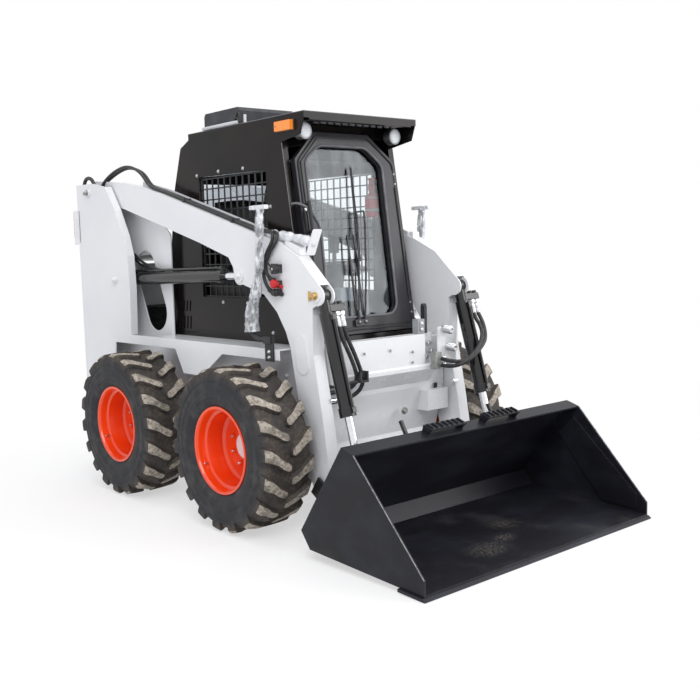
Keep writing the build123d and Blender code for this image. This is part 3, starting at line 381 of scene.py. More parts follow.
@dataclass(frozen=True)
class Enamel(Finish):
    """Sprayed gloss enamel over plate, with orange peel and a little dust low down."""

    colour: Colour = (0.8, 0.8, 0.8)
    shade: Colour = (0.7, 0.7, 0.7)
    roughness: float = 0.22
    dust: float = 0.0
    edge: float = 0.0025
    specular: float = 0.5
    coat: float = 0.0

    def build(self) -> bpy.types.Material:
        """Enamel with uneven tone, fine peel, rounded edges and dust gathered near the ground."""
        graph = Graph(self.name)
        place = graph.place()
        tone = graph.noise(place, 2.2, 4.0)
        colour = graph.mixed(tone.step(0.35, 0.68), self.colour, self.shade)
        rough = self.roughness + graph.noise(place, 9.0, 3.0).step(0.4, 0.75) * 0.06
        if self.dust > 0:
            _, _, up = graph.axes(place)
            low = 1.0 - up.step(0.15, 1.1)
            dirt = graph.noise(place, 26.0, 6.0, 0.65).step(0.45, 0.72) * low * self.dust
            colour = graph.mixed(dirt, colour, (0.33, 0.29, 0.24))
            rough = rough + dirt * 0.4
        peel = graph.noise(place, 420.0, 2.0)
        normal = graph.bump(peel, 0.12, 0.0006, graph.rounded(self.edge))
        return graph.finish(
            graph.principled(
                base_color=colour, roughness=rough, normal=normal, specular_ior_level=self.specular,
                coat_weight=self.coat, coat_roughness=0.08,
            )
        )


@dataclass(frozen=True)
class BucketPaint(Finish):
    """Thin satin black on a work tool, with fine scratches and three dry smudges on its floor."""

    dusty: bool = True
    # Above 1 this paints the piece lighter than its paint: painted light.
    light: float = 1.0

    def build(self) -> bpy.types.Material:
        """Painted blue-grey sheen in soft random patches, and dust where boots have touched the
        floor.
        """
        graph = Graph(self.name)
        place = graph.place()
        x, y, up = graph.axes(place)
        # The paler blue-grey of these patches is a painted sheen, not a colour of the paint.
        cloud = graph.noise(graph.stretched(place, (1.0, 2.0, 3.0)), 2.4, 4.0)
        dark = tuple(part * self.light for part in (0.0085, 0.0085, 0.012))
        pale = tuple(part * self.light for part in (0.016, 0.017, 0.024))
        colour = graph.mixed(cloud.step(0.4, 0.7), dark, pale)
        streak = graph.noise(graph.stretched(place, (3.0, 60.0, 60.0)), 3.0, 3.0).step(0.62, 0.75)
        colour = graph.mixed(streak * 0.25, colour, (0.045, 0.047, 0.058))
        rough = 0.34 + cloud * 0.14
        if self.dusty:
            low = 1.0 - up.step(0.05, 0.10)
            speck = graph.noise(place, 85.0, 5.0, 0.7).step(0.46, 0.62)
            smudge = 0.0
            for middle, reach in (
                ((-0.20, -1.45), 0.17), ((0.14, -1.28), 0.13), ((-0.02, -1.40), 0.10)
            ):
                away = ((x - middle[0]) ** 2.0 + (y - middle[1]) ** 2.0 * 3.0) ** 0.5
                smudge = (1.0 - away.step(reach * 0.2, reach)) * 0.55 + smudge
            dirt = smudge * speck * low
            colour = graph.mixed(dirt, colour, (0.16, 0.135, 0.10))
            haze = graph.noise(place, 3.2, 4.0, 0.6).step(0.50, 0.72) * low * 0.10
            colour = graph.mixed(haze, colour, (0.20, 0.19, 0.18))
            rough = rough + dirt * 0.3
        peel = graph.noise(place, 260.0, 3.0)
        normal = graph.bump(peel, 0.2, 0.0006, graph.rounded(0.002))
        return graph.finish(
            graph.principled(
                base_color=colour, roughness=rough, normal=normal, specular_ior_level=0.26
            )
        )


@dataclass(frozen=True)
class Rubber(Finish):
    """Tyre rubber seen from its wheel's middle: black sidewall, brown dust in the tread."""

    face: bool = False

    def build(self) -> bpy.types.Material:
        """Black rubber that turns brown with dust outwards, and tan on the faces of the lugs."""
        graph = Graph(self.name)
        place = graph.place()
        _, y, z = graph.axes(place)
        radius = (y * y + z * z) ** 0.5
        grain = graph.noise(place, 60.0, 6.0, 0.7)
        blotch = graph.noise(place, 14.0, 4.0, 0.6)
        rubber = graph.mixed(blotch.step(0.4, 0.7), (0.020, 0.021, 0.024), (0.034, 0.034, 0.037))
        if self.face:
            dust = graph.mixed(grain.step(0.36, 0.66), (0.24, 0.205, 0.165), (0.50, 0.45, 0.385))
            worn = (blotch.step(0.34, 0.52) * 0.72 + 0.28) * grain.step(0.25, 0.46)
            colour = graph.mixed(worn, (0.085, 0.074, 0.064), dust)
            height = grain
            strength = 0.7
        else:
            reach = radius.step(0.352, 0.398) * (0.40 + blotch.step(0.35, 0.65) * 0.55)
            colour = graph.mixed(
                reach, rubber,
                graph.mixed(grain.step(0.4, 0.7), (0.045, 0.036, 0.030), (0.115, 0.090, 0.068))
            )
            scuff = graph.noise(place, 7.0, 6.0, 0.65).step(0.5, 0.75)
            colour = graph.mixed(scuff * 0.22, colour, (0.16, 0.14, 0.12))
            height = grain * 0.5 + graph.noise(place, 300.0, 2.0) * 0.5
            strength = 0.35
        rough = 0.55 + grain * 0.25
        normal = graph.bump(height, strength, 0.002)
        return graph.finish(
            graph.principled(
                base_color=colour, roughness=rough, normal=normal, specular_ior_level=0.35
            )
        )


@dataclass(frozen=True)
class Metal(Finish):
    """Bare or plated metal with fine marks."""

    colour: Colour = (0.6, 0.6, 0.62)
    stain: Colour = (0.4, 0.4, 0.42)
    roughness: float = 0.25
    marks: float = 0.1

    def build(self) -> bpy.types.Material:
        """Metal whose tone and polish vary in small patches."""
        graph = Graph(self.name)
        place = graph.place()
        patch = graph.noise(place, 55.0, 4.0, 0.6)
        fine = graph.noise(graph.stretched(place, (1.0, 1.0, 9.0)), 160.0, 2.0)
        colour = graph.mixed(patch.step(0.4, 0.7), self.colour, self.stain)
        rough = self.roughness + fine * self.marks
        normal = graph.bump(fine, 0.08, 0.0004)
        return graph.finish(
            graph.principled(base_color=colour, metallic=1.0, roughness=rough, normal=normal)
        )


@dataclass(frozen=True)
class Moulded(Finish):
    """Grained black plastic, vinyl or hose rubber."""

    colour: Colour = (0.02, 0.02, 0.022)
    light: Colour = (0.035, 0.035, 0.037)
    roughness: float = 0.45
    grain: float = 500.0
    depth: float = 0.0006

    def build(self) -> bpy.types.Material:
        """Plastic with a moulded grain and a slight bloom."""
        graph = Graph(self.name)
        place = graph.place()
        bloom = graph.noise(place, 12.0, 4.0)
        leather = graph.cells(place, self.grain)
        colour = graph.mixed(bloom.step(0.4, 0.7), self.colour, self.light)
        rough = self.roughness + bloom * 0.15
        normal = graph.bump(leather, 0.35, self.depth, graph.rounded(0.002))
        return graph.finish(graph.principled(base_color=colour, roughness=rough, normal=normal))


@dataclass(frozen=True)
class Braid(Finish):
    """Wrapped outer cover of a hydraulic hose."""

    pitch: float = 260.0

    def build(self) -> bpy.types.Material:
        """Black cover with slanting wrap marks and paler patches that are partly dust and partly
        painted highlight.
        """
        graph = Graph(self.name)
        place = graph.place()
        wrap = graph.node(
            "ShaderNodeTexWave", {"wave_type": "BANDS", "bands_direction": "DIAGONAL"},
            {"Vector": place, "Scale": self.pitch / 6.0, "Distortion": 0.4}, output="Fac",
        )
        bloom = graph.noise(place, 40.0, 4.0)
        # Paler patches: partly dust, partly painted highlight.
        colour = graph.mixed(
            bloom.step(0.45, 0.75) * 0.5, (0.015, 0.015, 0.017), (0.07, 0.07, 0.07)
        )
        normal = graph.bump(wrap, 0.5, 0.0012)
        return graph.finish(
            graph.principled(base_color=colour, roughness=0.38 + bloom * 0.2, normal=normal)
        )


@dataclass(frozen=True)
class Pane(Finish):
    """Clear safety glass."""

    tint: Colour = (0.84, 0.865, 0.885)
    shine: float = 0.035

    def build(self) -> bpy.types.Material:
        """See-through pane that reflects more at a glancing view, with faint wiping marks."""
        graph = Graph(self.name)
        place = graph.place()
        smear = graph.noise(graph.stretched(place, (5.0, 5.0, 1.0)), 3.0, 4.0).step(0.45, 0.8)
        facing_away = graph.node("ShaderNodeLayerWeight", None, {"Blend": 0.5}, output="Facing")
        gleam = facing_away ** 5.0 * 0.8 + self.shine + smear * 0.02
        clear = graph.node("ShaderNodeBsdfTransparent", None, {"Color": (*self.tint, 1.0)})
        mirror = graph.principled(
            base_color=(0.9, 0.93, 0.95), metallic=1.0, roughness=0.02 + smear * 0.05
        )
        return graph.finish(
            graph.node("ShaderNodeMixShader", None, {0: gleam, 1: clear, 2: mirror})
        )


@dataclass(frozen=True)
class Lens(Finish):
    """Ribbed lamp lens with a painted glow that stands for light off the reflector behind it."""

    colour: Colour = (0.9, 0.35, 0.03)
    ribs: float = 160.0
    painted_glow: float = 0.15

    def build(self) -> bpy.types.Material:
        """Coloured plastic with moulded ribs and a slight painted glow from within."""
        graph = Graph(self.name)
        place = graph.place()
        rib = graph.node(
            "ShaderNodeTexWave", {"wave_type": "BANDS", "bands_direction": "Z"},
            {"Vector": place, "Scale": self.ribs}, output="Fac",
        )
        deep = tuple(part * 0.55 for part in self.colour)
        colour = graph.mixed(rib * 0.6, self.colour, deep)
        normal = graph.bump(rib, 0.4, 0.0015)
        # The emission is painted light: the lamps are not lit.
        return graph.finish(
            graph.principled(
                base_color=colour, roughness=0.12, normal=normal, emission_color=colour,
                emission_strength=self.painted_glow, coat_weight=0.6
            )
        )


@dataclass(frozen=True)
class Film(Finish):
    """Thin wrinkled packing film."""

    solid: float = 0.30

    def build(self) -> bpy.types.Material:
        """Milky film whose creases catch the light."""
        graph = Graph(self.name)
        place = graph.place()
        crease = graph.noise(graph.stretched(place, (1.0, 1.0, 0.5)), 38.0, 5.0, 0.6)
        ridge = graph.cells(place, 42.0)
        normal = graph.bump(ridge * 0.5 + crease, 1.0, 0.010)
        shell = graph.principled(
            base_color=(0.82, 0.84, 0.87), roughness=0.12 + crease * 0.2, normal=normal,
            specular_ior_level=0.9, coat_weight=0.5
        )
        clear = graph.node("ShaderNodeBsdfTransparent", None, {"Color": (0.93, 0.94, 0.96, 1.0)})
        thick = crease.step(0.40, 0.64) * (0.95 - self.solid) + self.solid
        return graph.finish(graph.node("ShaderNodeMixShader", None, {0: thick, 1: clear, 2: shell}))


WHITE = Enamel(
    "white_enamel", (0.80, 0.805, 0.82), (0.765, 0.77, 0.79), 0.20, dust=0.10, edge=0.003
)
APRON_WHITE = Enamel(
    "clean_white_enamel", (0.81, 0.815, 0.825), (0.785, 0.79, 0.80), 0.24, dust=0.05, edge=0.003
)
# Its warm brown second tone is a painted reddish-brown reflection of the surroundings.
CAB_BLACK = Enamel(
    "cab_gloss_black", (0.0065, 0.0055, 0.0055), (0.013, 0.0095, 0.0085), 0.16, specular=0.20
)
DOOR_BLACK = Enamel(
    "door_satin_black", (0.013, 0.0125, 0.016), (0.020, 0.019, 0.023), 0.30, edge=0.003,
    specular=0.38
)
TOOL_BLACK = Enamel(
    "carrier_black", (0.012, 0.012, 0.014), (0.020, 0.019, 0.019), 0.34, dust=0.20, specular=0.4
)
CYLINDER_BLACK = Enamel(
    "cylinder_gloss_black", (0.006, 0.006, 0.007), (0.011, 0.010, 0.012), 0.14, edge=0.002,
    specular=0.45, coat=0.25
)
RED_ENAMEL = Enamel("red_enamel", (0.62, 0.020, 0.016), (0.52, 0.016, 0.014), 0.25)
ORANGE = Enamel(
    "rim_orange_red", (0.88, 0.066, 0.007), (0.80, 0.050, 0.005), 0.20, edge=0.0025, coat=0.35
)
BUCKET = BucketPaint("bucket_satin_black")
# The cutting edge takes a lighter copy of the bucket's satin black, which paints light on it.
BUCKET_EDGE_PAINTED_LIGHT = BucketPaint("edge_satin_black_painted_light", dusty=False, light=1.7)
SIDEWALL = Rubber("tyre_rubber")
LUG_FACE = Rubber("lug_face_dust", face=True)
CHROME = Metal("chrome_rod", (0.80, 0.81, 0.84), (0.72, 0.73, 0.76), 0.06, 0.05)
BRIGHT = Metal("zinc_bright", (0.68, 0.69, 0.71), (0.5, 0.5, 0.52), 0.24, 0.15)
YELLOW_ZINC = Metal("zinc_yellow", (0.66, 0.44, 0.15), (0.46, 0.34, 0.20), 0.30, 0.15)
DULL_STEEL = Metal("dull_steel", (0.40, 0.41, 0.40), (0.26, 0.27, 0.25), 0.42, 0.2)
WORN_EDGE = Metal("worn_edge", (0.30, 0.30, 0.32), (0.14, 0.14, 0.16), 0.38, 0.2)
WELD = Metal("weld_bead", (0.26, 0.27, 0.30), (0.12, 0.12, 0.14), 0.45, 0.25)
CASTING = Metal("engine_casting", (0.12, 0.12, 0.125), (0.06, 0.055, 0.05), 0.55, 0.2)
PLASTIC = Moulded("black_plastic")
# Grey for the pale grab bar, and for painted highlights along the cab's roof edge, pillar line and
# visor slots.
GREY_TRIM_AND_PAINTED_HIGHLIGHT = Enamel("grey_trim_and_painted_highlight", (0.10, 0.10, 0.115), (0.15, 0.15, 0.16), 0.22, specular=0.6)
GREY_WHITE = Enamel("grey_white", (0.52, 0.53, 0.55), (0.60, 0.61, 0.63), 0.3)
BLACK_ZINC = Metal("black_zinc", (0.08, 0.08, 0.085), (0.14, 0.14, 0.145), 0.35, 0.15)
GREY_PLASTIC = Moulded("grey_plastic", (0.30, 0.31, 0.33), (0.36, 0.37, 0.39), 0.5, 300.0)
CHARCOAL = Moulded("charcoal_housing", (0.032, 0.033, 0.038), (0.052, 0.053, 0.060), 0.62, 160.0)
VINYL = Moulded("seat_vinyl", (0.016, 0.016, 0.017), (0.028, 0.028, 0.03), 0.40, 700.0)
RUBBER_TRIM = Moulded("seal_rubber", (0.10, 0.10, 0.11), (0.16, 0.16, 0.17), 0.42, 300.0)
# Dark rubber trim; also the thin dark patches that paint the shade in holes.
DARK_TRIM_AND_PAINTED_SHADE = Moulded("dark_rubber_and_painted_shade", (0.010, 0.010, 0.011), (0.018, 0.018, 0.019), 0.5, 300.0)
RED_CAP = Moulded("red_cap", (0.60, 0.012, 0.018), (0.46, 0.010, 0.014), 0.35, 400.0)
HOSE = Braid("hose_cover")
GLASS = Pane("cab_glass")
# Each lens glows a little, which paints the light off its reflector.
AMBER = Lens("amber_lens", (0.95, 0.26, 0.015), painted_glow=0.25)
RED = Lens("red_lens", (0.75, 0.02, 0.015), painted_glow=0.15)
CLEAR = Lens("clear_lens", (0.80, 0.82, 0.84), 90.0, painted_glow=0.08)
FILM = Film("packing_film")
ROLL_FILM = Film("white_film", solid=0.80)


# Mesh tools


class Along(Enum):
    """Direction that a bolt, bar or lathe points in."""

    LEFT = (1, 0, 0)
    RIGHT = (-1, 0, 0)
    FRONT = (0, -1, 0)
    REAR = (0, 1, 0)
    UP = (0, 0, 1)


def facing(
    centre: Vector, direction: Along | Sequence[float], up: Sequence[float] = (0, 0, 1)
) -> Matrix:
    """Frame whose Z runs along a direction from a centre, in metres.

    Args:
        centre: the frame's origin.
        direction: where its Z points.
        up: what its Y leans towards.

    Returns:
        The 4 by 4 matrix.
    """
    z = Vector(direction.value if isinstance(direction, Along) else direction).normalized()
    y = Vector(up)
    if abs(z.dot(y.normalized())) > 0.99:
        y = Vector((0, 1, 0))
    x = y.cross(z).normalized()
    y = z.cross(x)
    turn = Matrix((x, y, z)).transposed().to_4x4()
    turn.translation = centre
    return turn


class Form:
    """A mesh while it is being built, in metres in the machine's frame."""

    def __init__(self) -> None:
        """Start with nothing."""
        self.mesh = bmesh.new()

    def ring(self, points: Iterable[Vector]) -> list[bmesh.types.BMVert]:
        """Add vertices at these places."""
        return [self.mesh.verts.new(point) for point in points]

    def bridge(
        self,
        first: list[bmesh.types.BMVert],
        second: list[bmesh.types.BMVert],
        material: int = 0,
        closed: bool = True,
    ) -> None:
        """Join two rings of the same length with faces.

        Args:
            first: one ring.
            second: the other.
            material: material number of the faces.
            closed: whether the ring's last vertex joins its first.
        """
        count = len(first)
        for index in range(count if closed else count - 1):
            after = (index + 1) % count
            face = self.mesh.faces.new((first[index], first[after], second[after], second[index]))
            face.material_index = material

    def cap(self, ring: list[bmesh.types.BMVert], material: int = 0, flipped: bool = False) -> None:
        """Close a ring with one face."""
        face = self.mesh.faces.new(list(reversed(ring)) if flipped else ring)
        face.material_index = material

    def skin(self, rings: Sequence[list[bmesh.types.BMVert]], material: int = 0) -> None:
        """Join a row of rings with faces and close both ends."""
        for before, after in zip(rings, rings[1:]):
            self.bridge(before, after, material)
        self.cap(rings[0], material, flipped=True)
        self.cap(rings[-1], material)

    def lathe(
        self,
        frame_: Matrix,
        profile: Sequence[tuple[float, float]],
        segments: int = 32,
        material: int = 0,
        turn: float = 0.0,
    ) -> None:
        """Turn a profile round the Z of a frame.

        Args:
            frame_: where it stands, in metres.
            profile: (height along Z, radius) in millimetres, ends at radius 0 for a closed form.
            segments: corners round it; 6 makes a hexagon.
            material: material number.
            turn: angle of the first corner, in radians.
        """
        rings = []
        for height, radius in profile:
            if radius < 1e-6:
                rings.append(self.ring([frame_ @ Vector((0, 0, height * MM))]))
                continue
            angles = [turn + math.tau * step / segments for step in range(segments)]
            rings.append(
                self.ring(
                    frame_ @ Vector(
                        (math.cos(angle) * radius * MM, math.sin(angle) * radius * MM, height * MM)
                    ) for angle in angles
                )
            )
        for before, after in zip(rings, rings[1:]):
            if len(before) == 1 and len(after) == 1:
                continue
            if len(before) == 1 or len(after) == 1:
                tip, rim = (before, after) if len(before) == 1 else (after, before)
                for index in range(len(rim)):
                    face = self.mesh.faces.new((tip[0], rim[index], rim[(index + 1) % len(rim)]))
                    face.material_index = material
            else:
                self.bridge(before, after, material)

    def turned(
        self,
        frame_: Matrix,
        steps: Sequence[tuple[float, float]],
        segments: int = 32,
        material: int = 0,
        turn: float = 0.0,
    ) -> None:
        """Turn a profile round the Z of a frame and close both its ends with flat faces."""
        closed = [(steps[0][0], 0), *steps, (steps[-1][0], 0)]
        self.lathe(frame_, closed, segments, material, turn)

    def bolt(
        self, place: Vector, direction: Along | Sequence[float], across: float, material: int = 0
    ) -> None:
        """Add a flange bolt head with a washer.

        Args:
            place: the middle of its seat, in metres.
            direction: where its head points.
            across: width over its flats, in millimetres.
            material: material number.
        """
        base = facing(place, direction)
        radius = across * 0.577
        self.turned(
            base,
            [(0, across * 0.86), (across * 0.10, across * 0.86), (across * 0.14, across * 0.78)],
            20, material
        )
        self.turned(
            base, [(across * 0.1, radius), (across * 0.52, radius), (across * 0.62, radius * 0.86)],
            6, material
        )

    def box(self, low: Point, high: Point, material: int = 0) -> None:
        """Add a box between two corners in the machine's millimetres, in either order across it."""
        near, far = sorted((low[0], high[0]))
        outline = ((near, low[1]), (far, low[1]), (far, high[1]), (near, high[1]))
        self.skin(
            [self.ring(spot(x, rear, up) for x, rear in outline) for up in (low[2], high[2])],
            material
        )

    def prism(
        self,
        frame_: Matrix,
        outline: Sequence[tuple[float, float]],
        depth: float,
        material: int = 0,
    ) -> None:
        """Extrude an outline along the Z of a frame.

        Args:
            frame_: where it stands, in metres.
            outline: (X, Y) corners in the frame, in millimetres.
            depth: how far it goes, in millimetres.
            material: material number.
        """
        self.skin(
            [
                self.ring(frame_ @ Vector((x * MM, y * MM, z * MM)) for x, y in outline)
                for z in (0, depth)
            ], material
        )

    def tube(
        self, points: Sequence[Vector], radii: Sequence[Sequence[float]], material: int = 0
    ) -> None:
        """Add a closed tube round a line.

        Args:
            points: the line, in metres.
            radii: for each point, the radius at each corner round it, in millimetres.
            material: material number.
        """
        rings = []
        across = None
        for index, (point, around) in enumerate(zip(points, radii)):
            way = (points[min(index + 1, len(points) - 1)] - points[max(index - 1, 0)]).normalized()
            if across is None:
                across = way.orthogonal().normalized()
            across = (across - way * across.dot(way)).normalized()
            other = way.cross(across)
            angles = [math.tau * step / len(around) for step in range(len(around))]
            rings.append(
                self.ring(
                    point + (across * math.cos(angle) + other * math.sin(angle)) * radius * MM
                    for angle, radius in zip(angles, around)
                )
            )
        self.skin(rings, material)

    def pipe(
        self, points: Sequence[Vector], radius: float, sides: int = 14, material: int = 0
    ) -> None:
        """Add a round bar through points in metres.

        Args:
            points: the line it follows.
            radius: in millimetres.
            sides: corners round it.
            material: material number.
        """
        self.tube(points, [[radius] * sides] * len(points), material)

    def loop(
        self,
        frame_: Matrix,
        outline: Sequence[tuple[float, float]],
        radius: float,
        sides: int = 8,
        material: int = 0,
    ) -> None:
        """Add a round bar along a closed outline in the XY of a frame.

        Args:
            frame_: where it stands, in metres.
            outline: (X, Y) points in the frame, in millimetres.
            radius: in millimetres.
            sides: corners round it.
            material: material number.
        """
        points = [Vector((x, y, 0.0)) for x, y in outline]
        rings = []
        for index, point in enumerate(points):
            before = (point - points[index - 1]).normalized()
            after = (points[(index + 1) % len(points)] - point).normalized()
            way = (before + after).normalized()
            across = Vector((way.y, -way.x, 0.0)) / max(0.5, way.dot(after))
            rings.append(
                self.ring(
                    frame_ @ (
                        (
                            point + across * radius * math.cos(math.tau * step / sides)
                            + Vector((0, 0, radius * math.sin(math.tau * step / sides)))
                        ) * MM
                    ) for step in range(sides)
                )
            )
        for index, ring in enumerate(rings):
            self.bridge(ring, rings[(index + 1) % len(rings)], material)

    def hose(
        self,
        corners: Sequence[Point],
        radius: float,
        sides: int = 14,
        material: int = 0,
        steps: int = 7,
    ) -> None:
        """Add a hose on a soft line through a route in the machine's millimetres."""
        self.pipe(
            smooth_line([spot(*corner) for corner in corners], steps), radius, sides, material
        )

    def sleeve(
        self,
        points: Sequence[Vector],
        radii: Sequence[float],
        crease: float,
        seed: str,
        sides: int = 22,
        material: int = 0,
    ) -> None:
        """Add a closed crumpled tube round a line, as film that is wound round a bar.

        Args:
            points: the line, in metres.
            radii: its radius at each point, in millimetres.
            crease: how far the creases go in, in millimetres.
            seed: name that fixes the creases.
            sides: corners round it.
            material: material number.
        """
        shape = random.Random(seed)
        folds = [shape.uniform(0, crease) for _ in range(sides)]
        reaches = []
        for radius in radii:
            folds = [fold * 0.55 + shape.uniform(0, crease) * 0.45 for fold in folds]
            reaches.append([radius - fold for fold in folds])
        self.tube(points, reaches, material)

    def fitting(
        self, place: Vector, way: Sequence[float], length: float, radius: float, material: int = 0
    ) -> None:
        """Add a crimped hose end with its nut.

        Args:
            place: where the nut starts, in metres.
            way: direction that the hose leaves in.
            length: whole length, in millimetres.
            radius: the hose's radius, in millimetres.
            material: material number.
        """
        base = facing(place, way)
        nut = length * 0.28
        self.turned(
            base,
            [
                (0, radius * 1.55), (2, radius * 1.72), (nut - 2, radius * 1.72),
                (nut, radius * 1.55)
            ], 6, material
        )
        rings = [
            (nut - 1, 0.0), (nut - 1, radius * 1.15), (nut + 5, radius * 1.15),
            (nut + 6, radius * 1.4)
        ]
        for number in range(4):
            start = nut + 8 + (length - nut - 12) * number / 4
            rings += [
                (start, radius * 1.42), (start + (length - nut) / 6, radius * 1.42),
                (start + (length - nut) / 5, radius * 1.26)
            ]
        rings += [(length, radius * 1.24), (length, 0.0)]
        self.lathe(base, rings, 24, material)

    def piece(
        self,
        name: str,
        finishes: Sequence[Finish],
        body: str,
        slot: str | None = None,
        *,
        origin: Vector | None = None,
        bevel: float = 0.0,
        sharp: float = 35.0,
        replaces: Sequence[str] = (),
        bends: tuple[str, Vector, Vector] | None = None,
    ) -> bpy.types.Object:
        """Turn the mesh into a piece that rides on a body, or that stays fixed in place when bends
        are given.

        Args:
            name: the piece's name.
            finishes: one finish for each material number.
            body: the CAD body it rides on.
            slot: the record's slot that it takes its finish from; not used.
            origin: where the piece's own frame stands, in metres.
            bevel: width of its rounded edges, in millimetres.
            sharp: angle in degrees over which an edge stays sharp.
            replaces: CAD nodes that it stands for.
            bends: the second body that a hose bends to, and where it starts and ends to follow it;
                only whether it is given is read, and the piece is then left unparented in place.

        Returns:
            The new object.
        """
        bmesh.ops.recalc_face_normals(self.mesh, faces=self.mesh.faces)
        if origin is not None:
            bmesh.ops.translate(self.mesh, vec=-origin, verts=self.mesh.verts)
        data = bpy.data.meshes.new(name)
        self.mesh.to_mesh(data)
        self.mesh.free()
        for finish in finishes:
            data.materials.append(finish.material())
        made = bpy.data.objects.new(name, data)
        bpy.context.scene.collection.objects.link(made)
        if origin is not None:
            made.location = origin
        data.shade_smooth()
        data.set_sharp_from_angle(angle=math.radians(sharp))
        if bevel > 0:
            rounding = made.modifiers.new("rounding", "BEVEL")
            rounding.width = bevel * MM
            rounding.segments = 2
            rounding.limit_method = "ANGLE"
            rounding.angle_limit = math.radians(sharp)
        if bends:
            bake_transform(made)
        else:
            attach(made, body)
        if replaces:
            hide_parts(*replaces)
        log.info("%s: %d faces on %s", name, len(data.polygons), body)
        return made


def repaint(finish: Finish, *names: str) -> None:
    """Give CAD nodes a finish.

    Args:
        finish: the new finish.
        names: the nodes' names.
    """
    for name in names:
        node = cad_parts[name]
        node.data.materials.clear()
        node.data.materials.append(finish.material())
    log.info("%s on %s", finish.name, ", ".join(names))


# Wheels


@dataclass
class Wheel:
    """One wheel: a lugged tyre and a deep rim in place of its plain solids, with their fittings."""

    name: str
    side: int
    axle: float
    turn: float = 0.0
    carcass: float = 394.0
    crown_from: int = 18
    lug_count: int = 18
    nut_circle: float = 101.5
    nut_count: int = 8
    disc: float = -31.0
    hub_face: float = -23.0
    valve_angle: float = -30.0
    rim: Sequence[tuple[float, float]] = (
        (-23, 0), (-23, 63), (-29, 66), (-29, 96), (-31, 101), (-31, 168), (-26, 178), (-17, 187),
        (77, 187), (82, 193), (85, 201), (120, 201), (126, 204), (133, 208), (134.5, 214),
        (133, 221), (126, 221), (126, 210), (-126, 210), (-126, 221), (-133, 221), (-133, 201),
        (-93, 181), (-41, 161), (-41, 96), (-71, 86), (-71, 0),
    )
    sidewall: Sequence[tuple[float, float]] = (
        (125, 210.5), (126, 222), (131, 229), (140, 240), (145.5, 252), (147, 262), (147.5, 264),
        (150, 266), (150.8, 280), (150.8, 300), (149.4, 303), (149.4, 307), (150.8, 310),
        (150, 328), (147.5, 342), (146.4, 345), (146.4, 348), (148.6, 350), (148.6, 356),
        (145, 362), (141, 371), (135, 380), (124, 388), (104, 391.5), (60, 393.5), (0, 394),
    )
    lug_stations: Sequence[tuple[float, float, float]] = (
        (148.5, 6, 66), (132, -2, 58), (112, -9, 48), (92, -17, 35), (78, -24, 24), (58, -38, 6),
        (38, -50, -6), (22, -56, -13), (11, -55, -19), (4.5, -49, -27),
    )

    @property
    def body(self) -> str:
        """The CAD body that turns with this wheel."""
        return f"wheel_{self.name}"

    @property
    def outward(self) -> Point:
        """Direction out from the machine through the wheel."""
        return (self.side, 0, 0)

    @property
    def centre(self) -> Vector:
        """Middle of the tyre, in metres."""
        return spot(self.side * TYRE_MID, self.axle, TYRE_RADIUS)

    def wrapped(self, x: float, around: float, radius: float) -> Vector:
        """Place on the tread.

        Args:
            x: across the tread from its middle, in millimetres.
            around: distance round the tread, in millimetres.
            radius: distance from the axle, in millimetres.

        Returns:
            The place in metres.
        """
        angle = around / self.carcass
        return self.centre + Vector((x, radius * math.sin(angle), radius * math.cos(angle))) * MM

    def crown(self, x: float) -> float:
        """Radius of the carcass at a distance across the tread."""
        points = self.sidewall[self.crown_from:]
        across = abs(x)
        for (x0, r0), (x1, r1) in zip(points, points[1:]):
            if x1 <= across <= x0:
                return r1 + (r0 - r1) * (across - x1) / (x0 - x1)
        return points[0][1]

    def add_lug(self, form: Form, row: int, start: float, shape: random.Random) -> None:
        """Add one bar of the tread.

        Args:
            form: the tyre's mesh.
            row: +1 or -1 for the left or right half of the tread.
            start: distance round the tread of the bar's place.
            shape: source of its small unevenness.
        """
        rings = []
        for x, low, high in self.lug_stations:
            across = abs(x)
            top = TYRE_RADIUS - 1.0 - 5.0 * (across / 148) ** 2 - max(0.0, across - 132) * 0.75
            root = self.crown(x) - 4.0
            jitter = shape.uniform(-1.2, 1.2)
            flare = 7.0
            section = [
                (low - flare, root), (low - 1.5 + jitter, top - 6.0), (low + 2.5 + jitter, top),
                ((low + high) / 2, top + 0.4), (high - 2.5 + jitter, top),
                (high + 1.5 + jitter, top - 6.0), (high + flare, root),
            ]
            rings.append([self.wrapped(row * x, start + turn, radius) for turn, radius in section])
        rows = [form.ring(points) for points in rings]
        for before, after in zip(rows, rows[1:]):
            for index in range(6):
                face = form.mesh.faces.new(
                    (before[index], before[index + 1], after[index + 1], after[index])
                )
                face.material_index = 1 if 1 < index < 4 else 0
        form.cap(rows[0])
        tip = rows[-1]
        x, low, high = self.lug_stations[-1]
        middle = start + (low + high) / 2
        end = form.ring(
            self.wrapped(row * (x - 6), middle + shift, self.crown(0) - 4.0) for shift in (-9, 9)
        )
        form.mesh.faces.new((tip[0], tip[1], end[0]))
        form.mesh.faces.new((tip[1], tip[2], tip[3], tip[4], tip[5], end[1], end[0]))
        form.mesh.faces.new((tip[5], tip[6], end[1]))

    def build_tyre(self) -> None:
        """Build the tyre with its ridged sidewalls and two staggered rows of bars."""
        form = Form()
        shape = random.Random(f"tyre {self.name}")
        profile = [*self.sidewall, *((-x, radius) for x, radius in self.sidewall[-2::-1])]
        form.lathe(facing(self.centre, Along.LEFT), profile, 96)
        pitch = math.tau * self.carcass / self.lug_count
        shift = self.turn * pitch
        for number in range(self.lug_count):
            self.add_lug(form, 1, shift + number * pitch, shape)
            self.add_lug(form, -1, shift + (number + 0.5) * pitch, shape)
        form.piece(
            f"tread_tyre_{self.name}", (SIDEWALL, LUG_FACE), self.body, "tyre", origin=self.centre,
            sharp=28.0, replaces=[f"tyre_{self.name}"]
        )

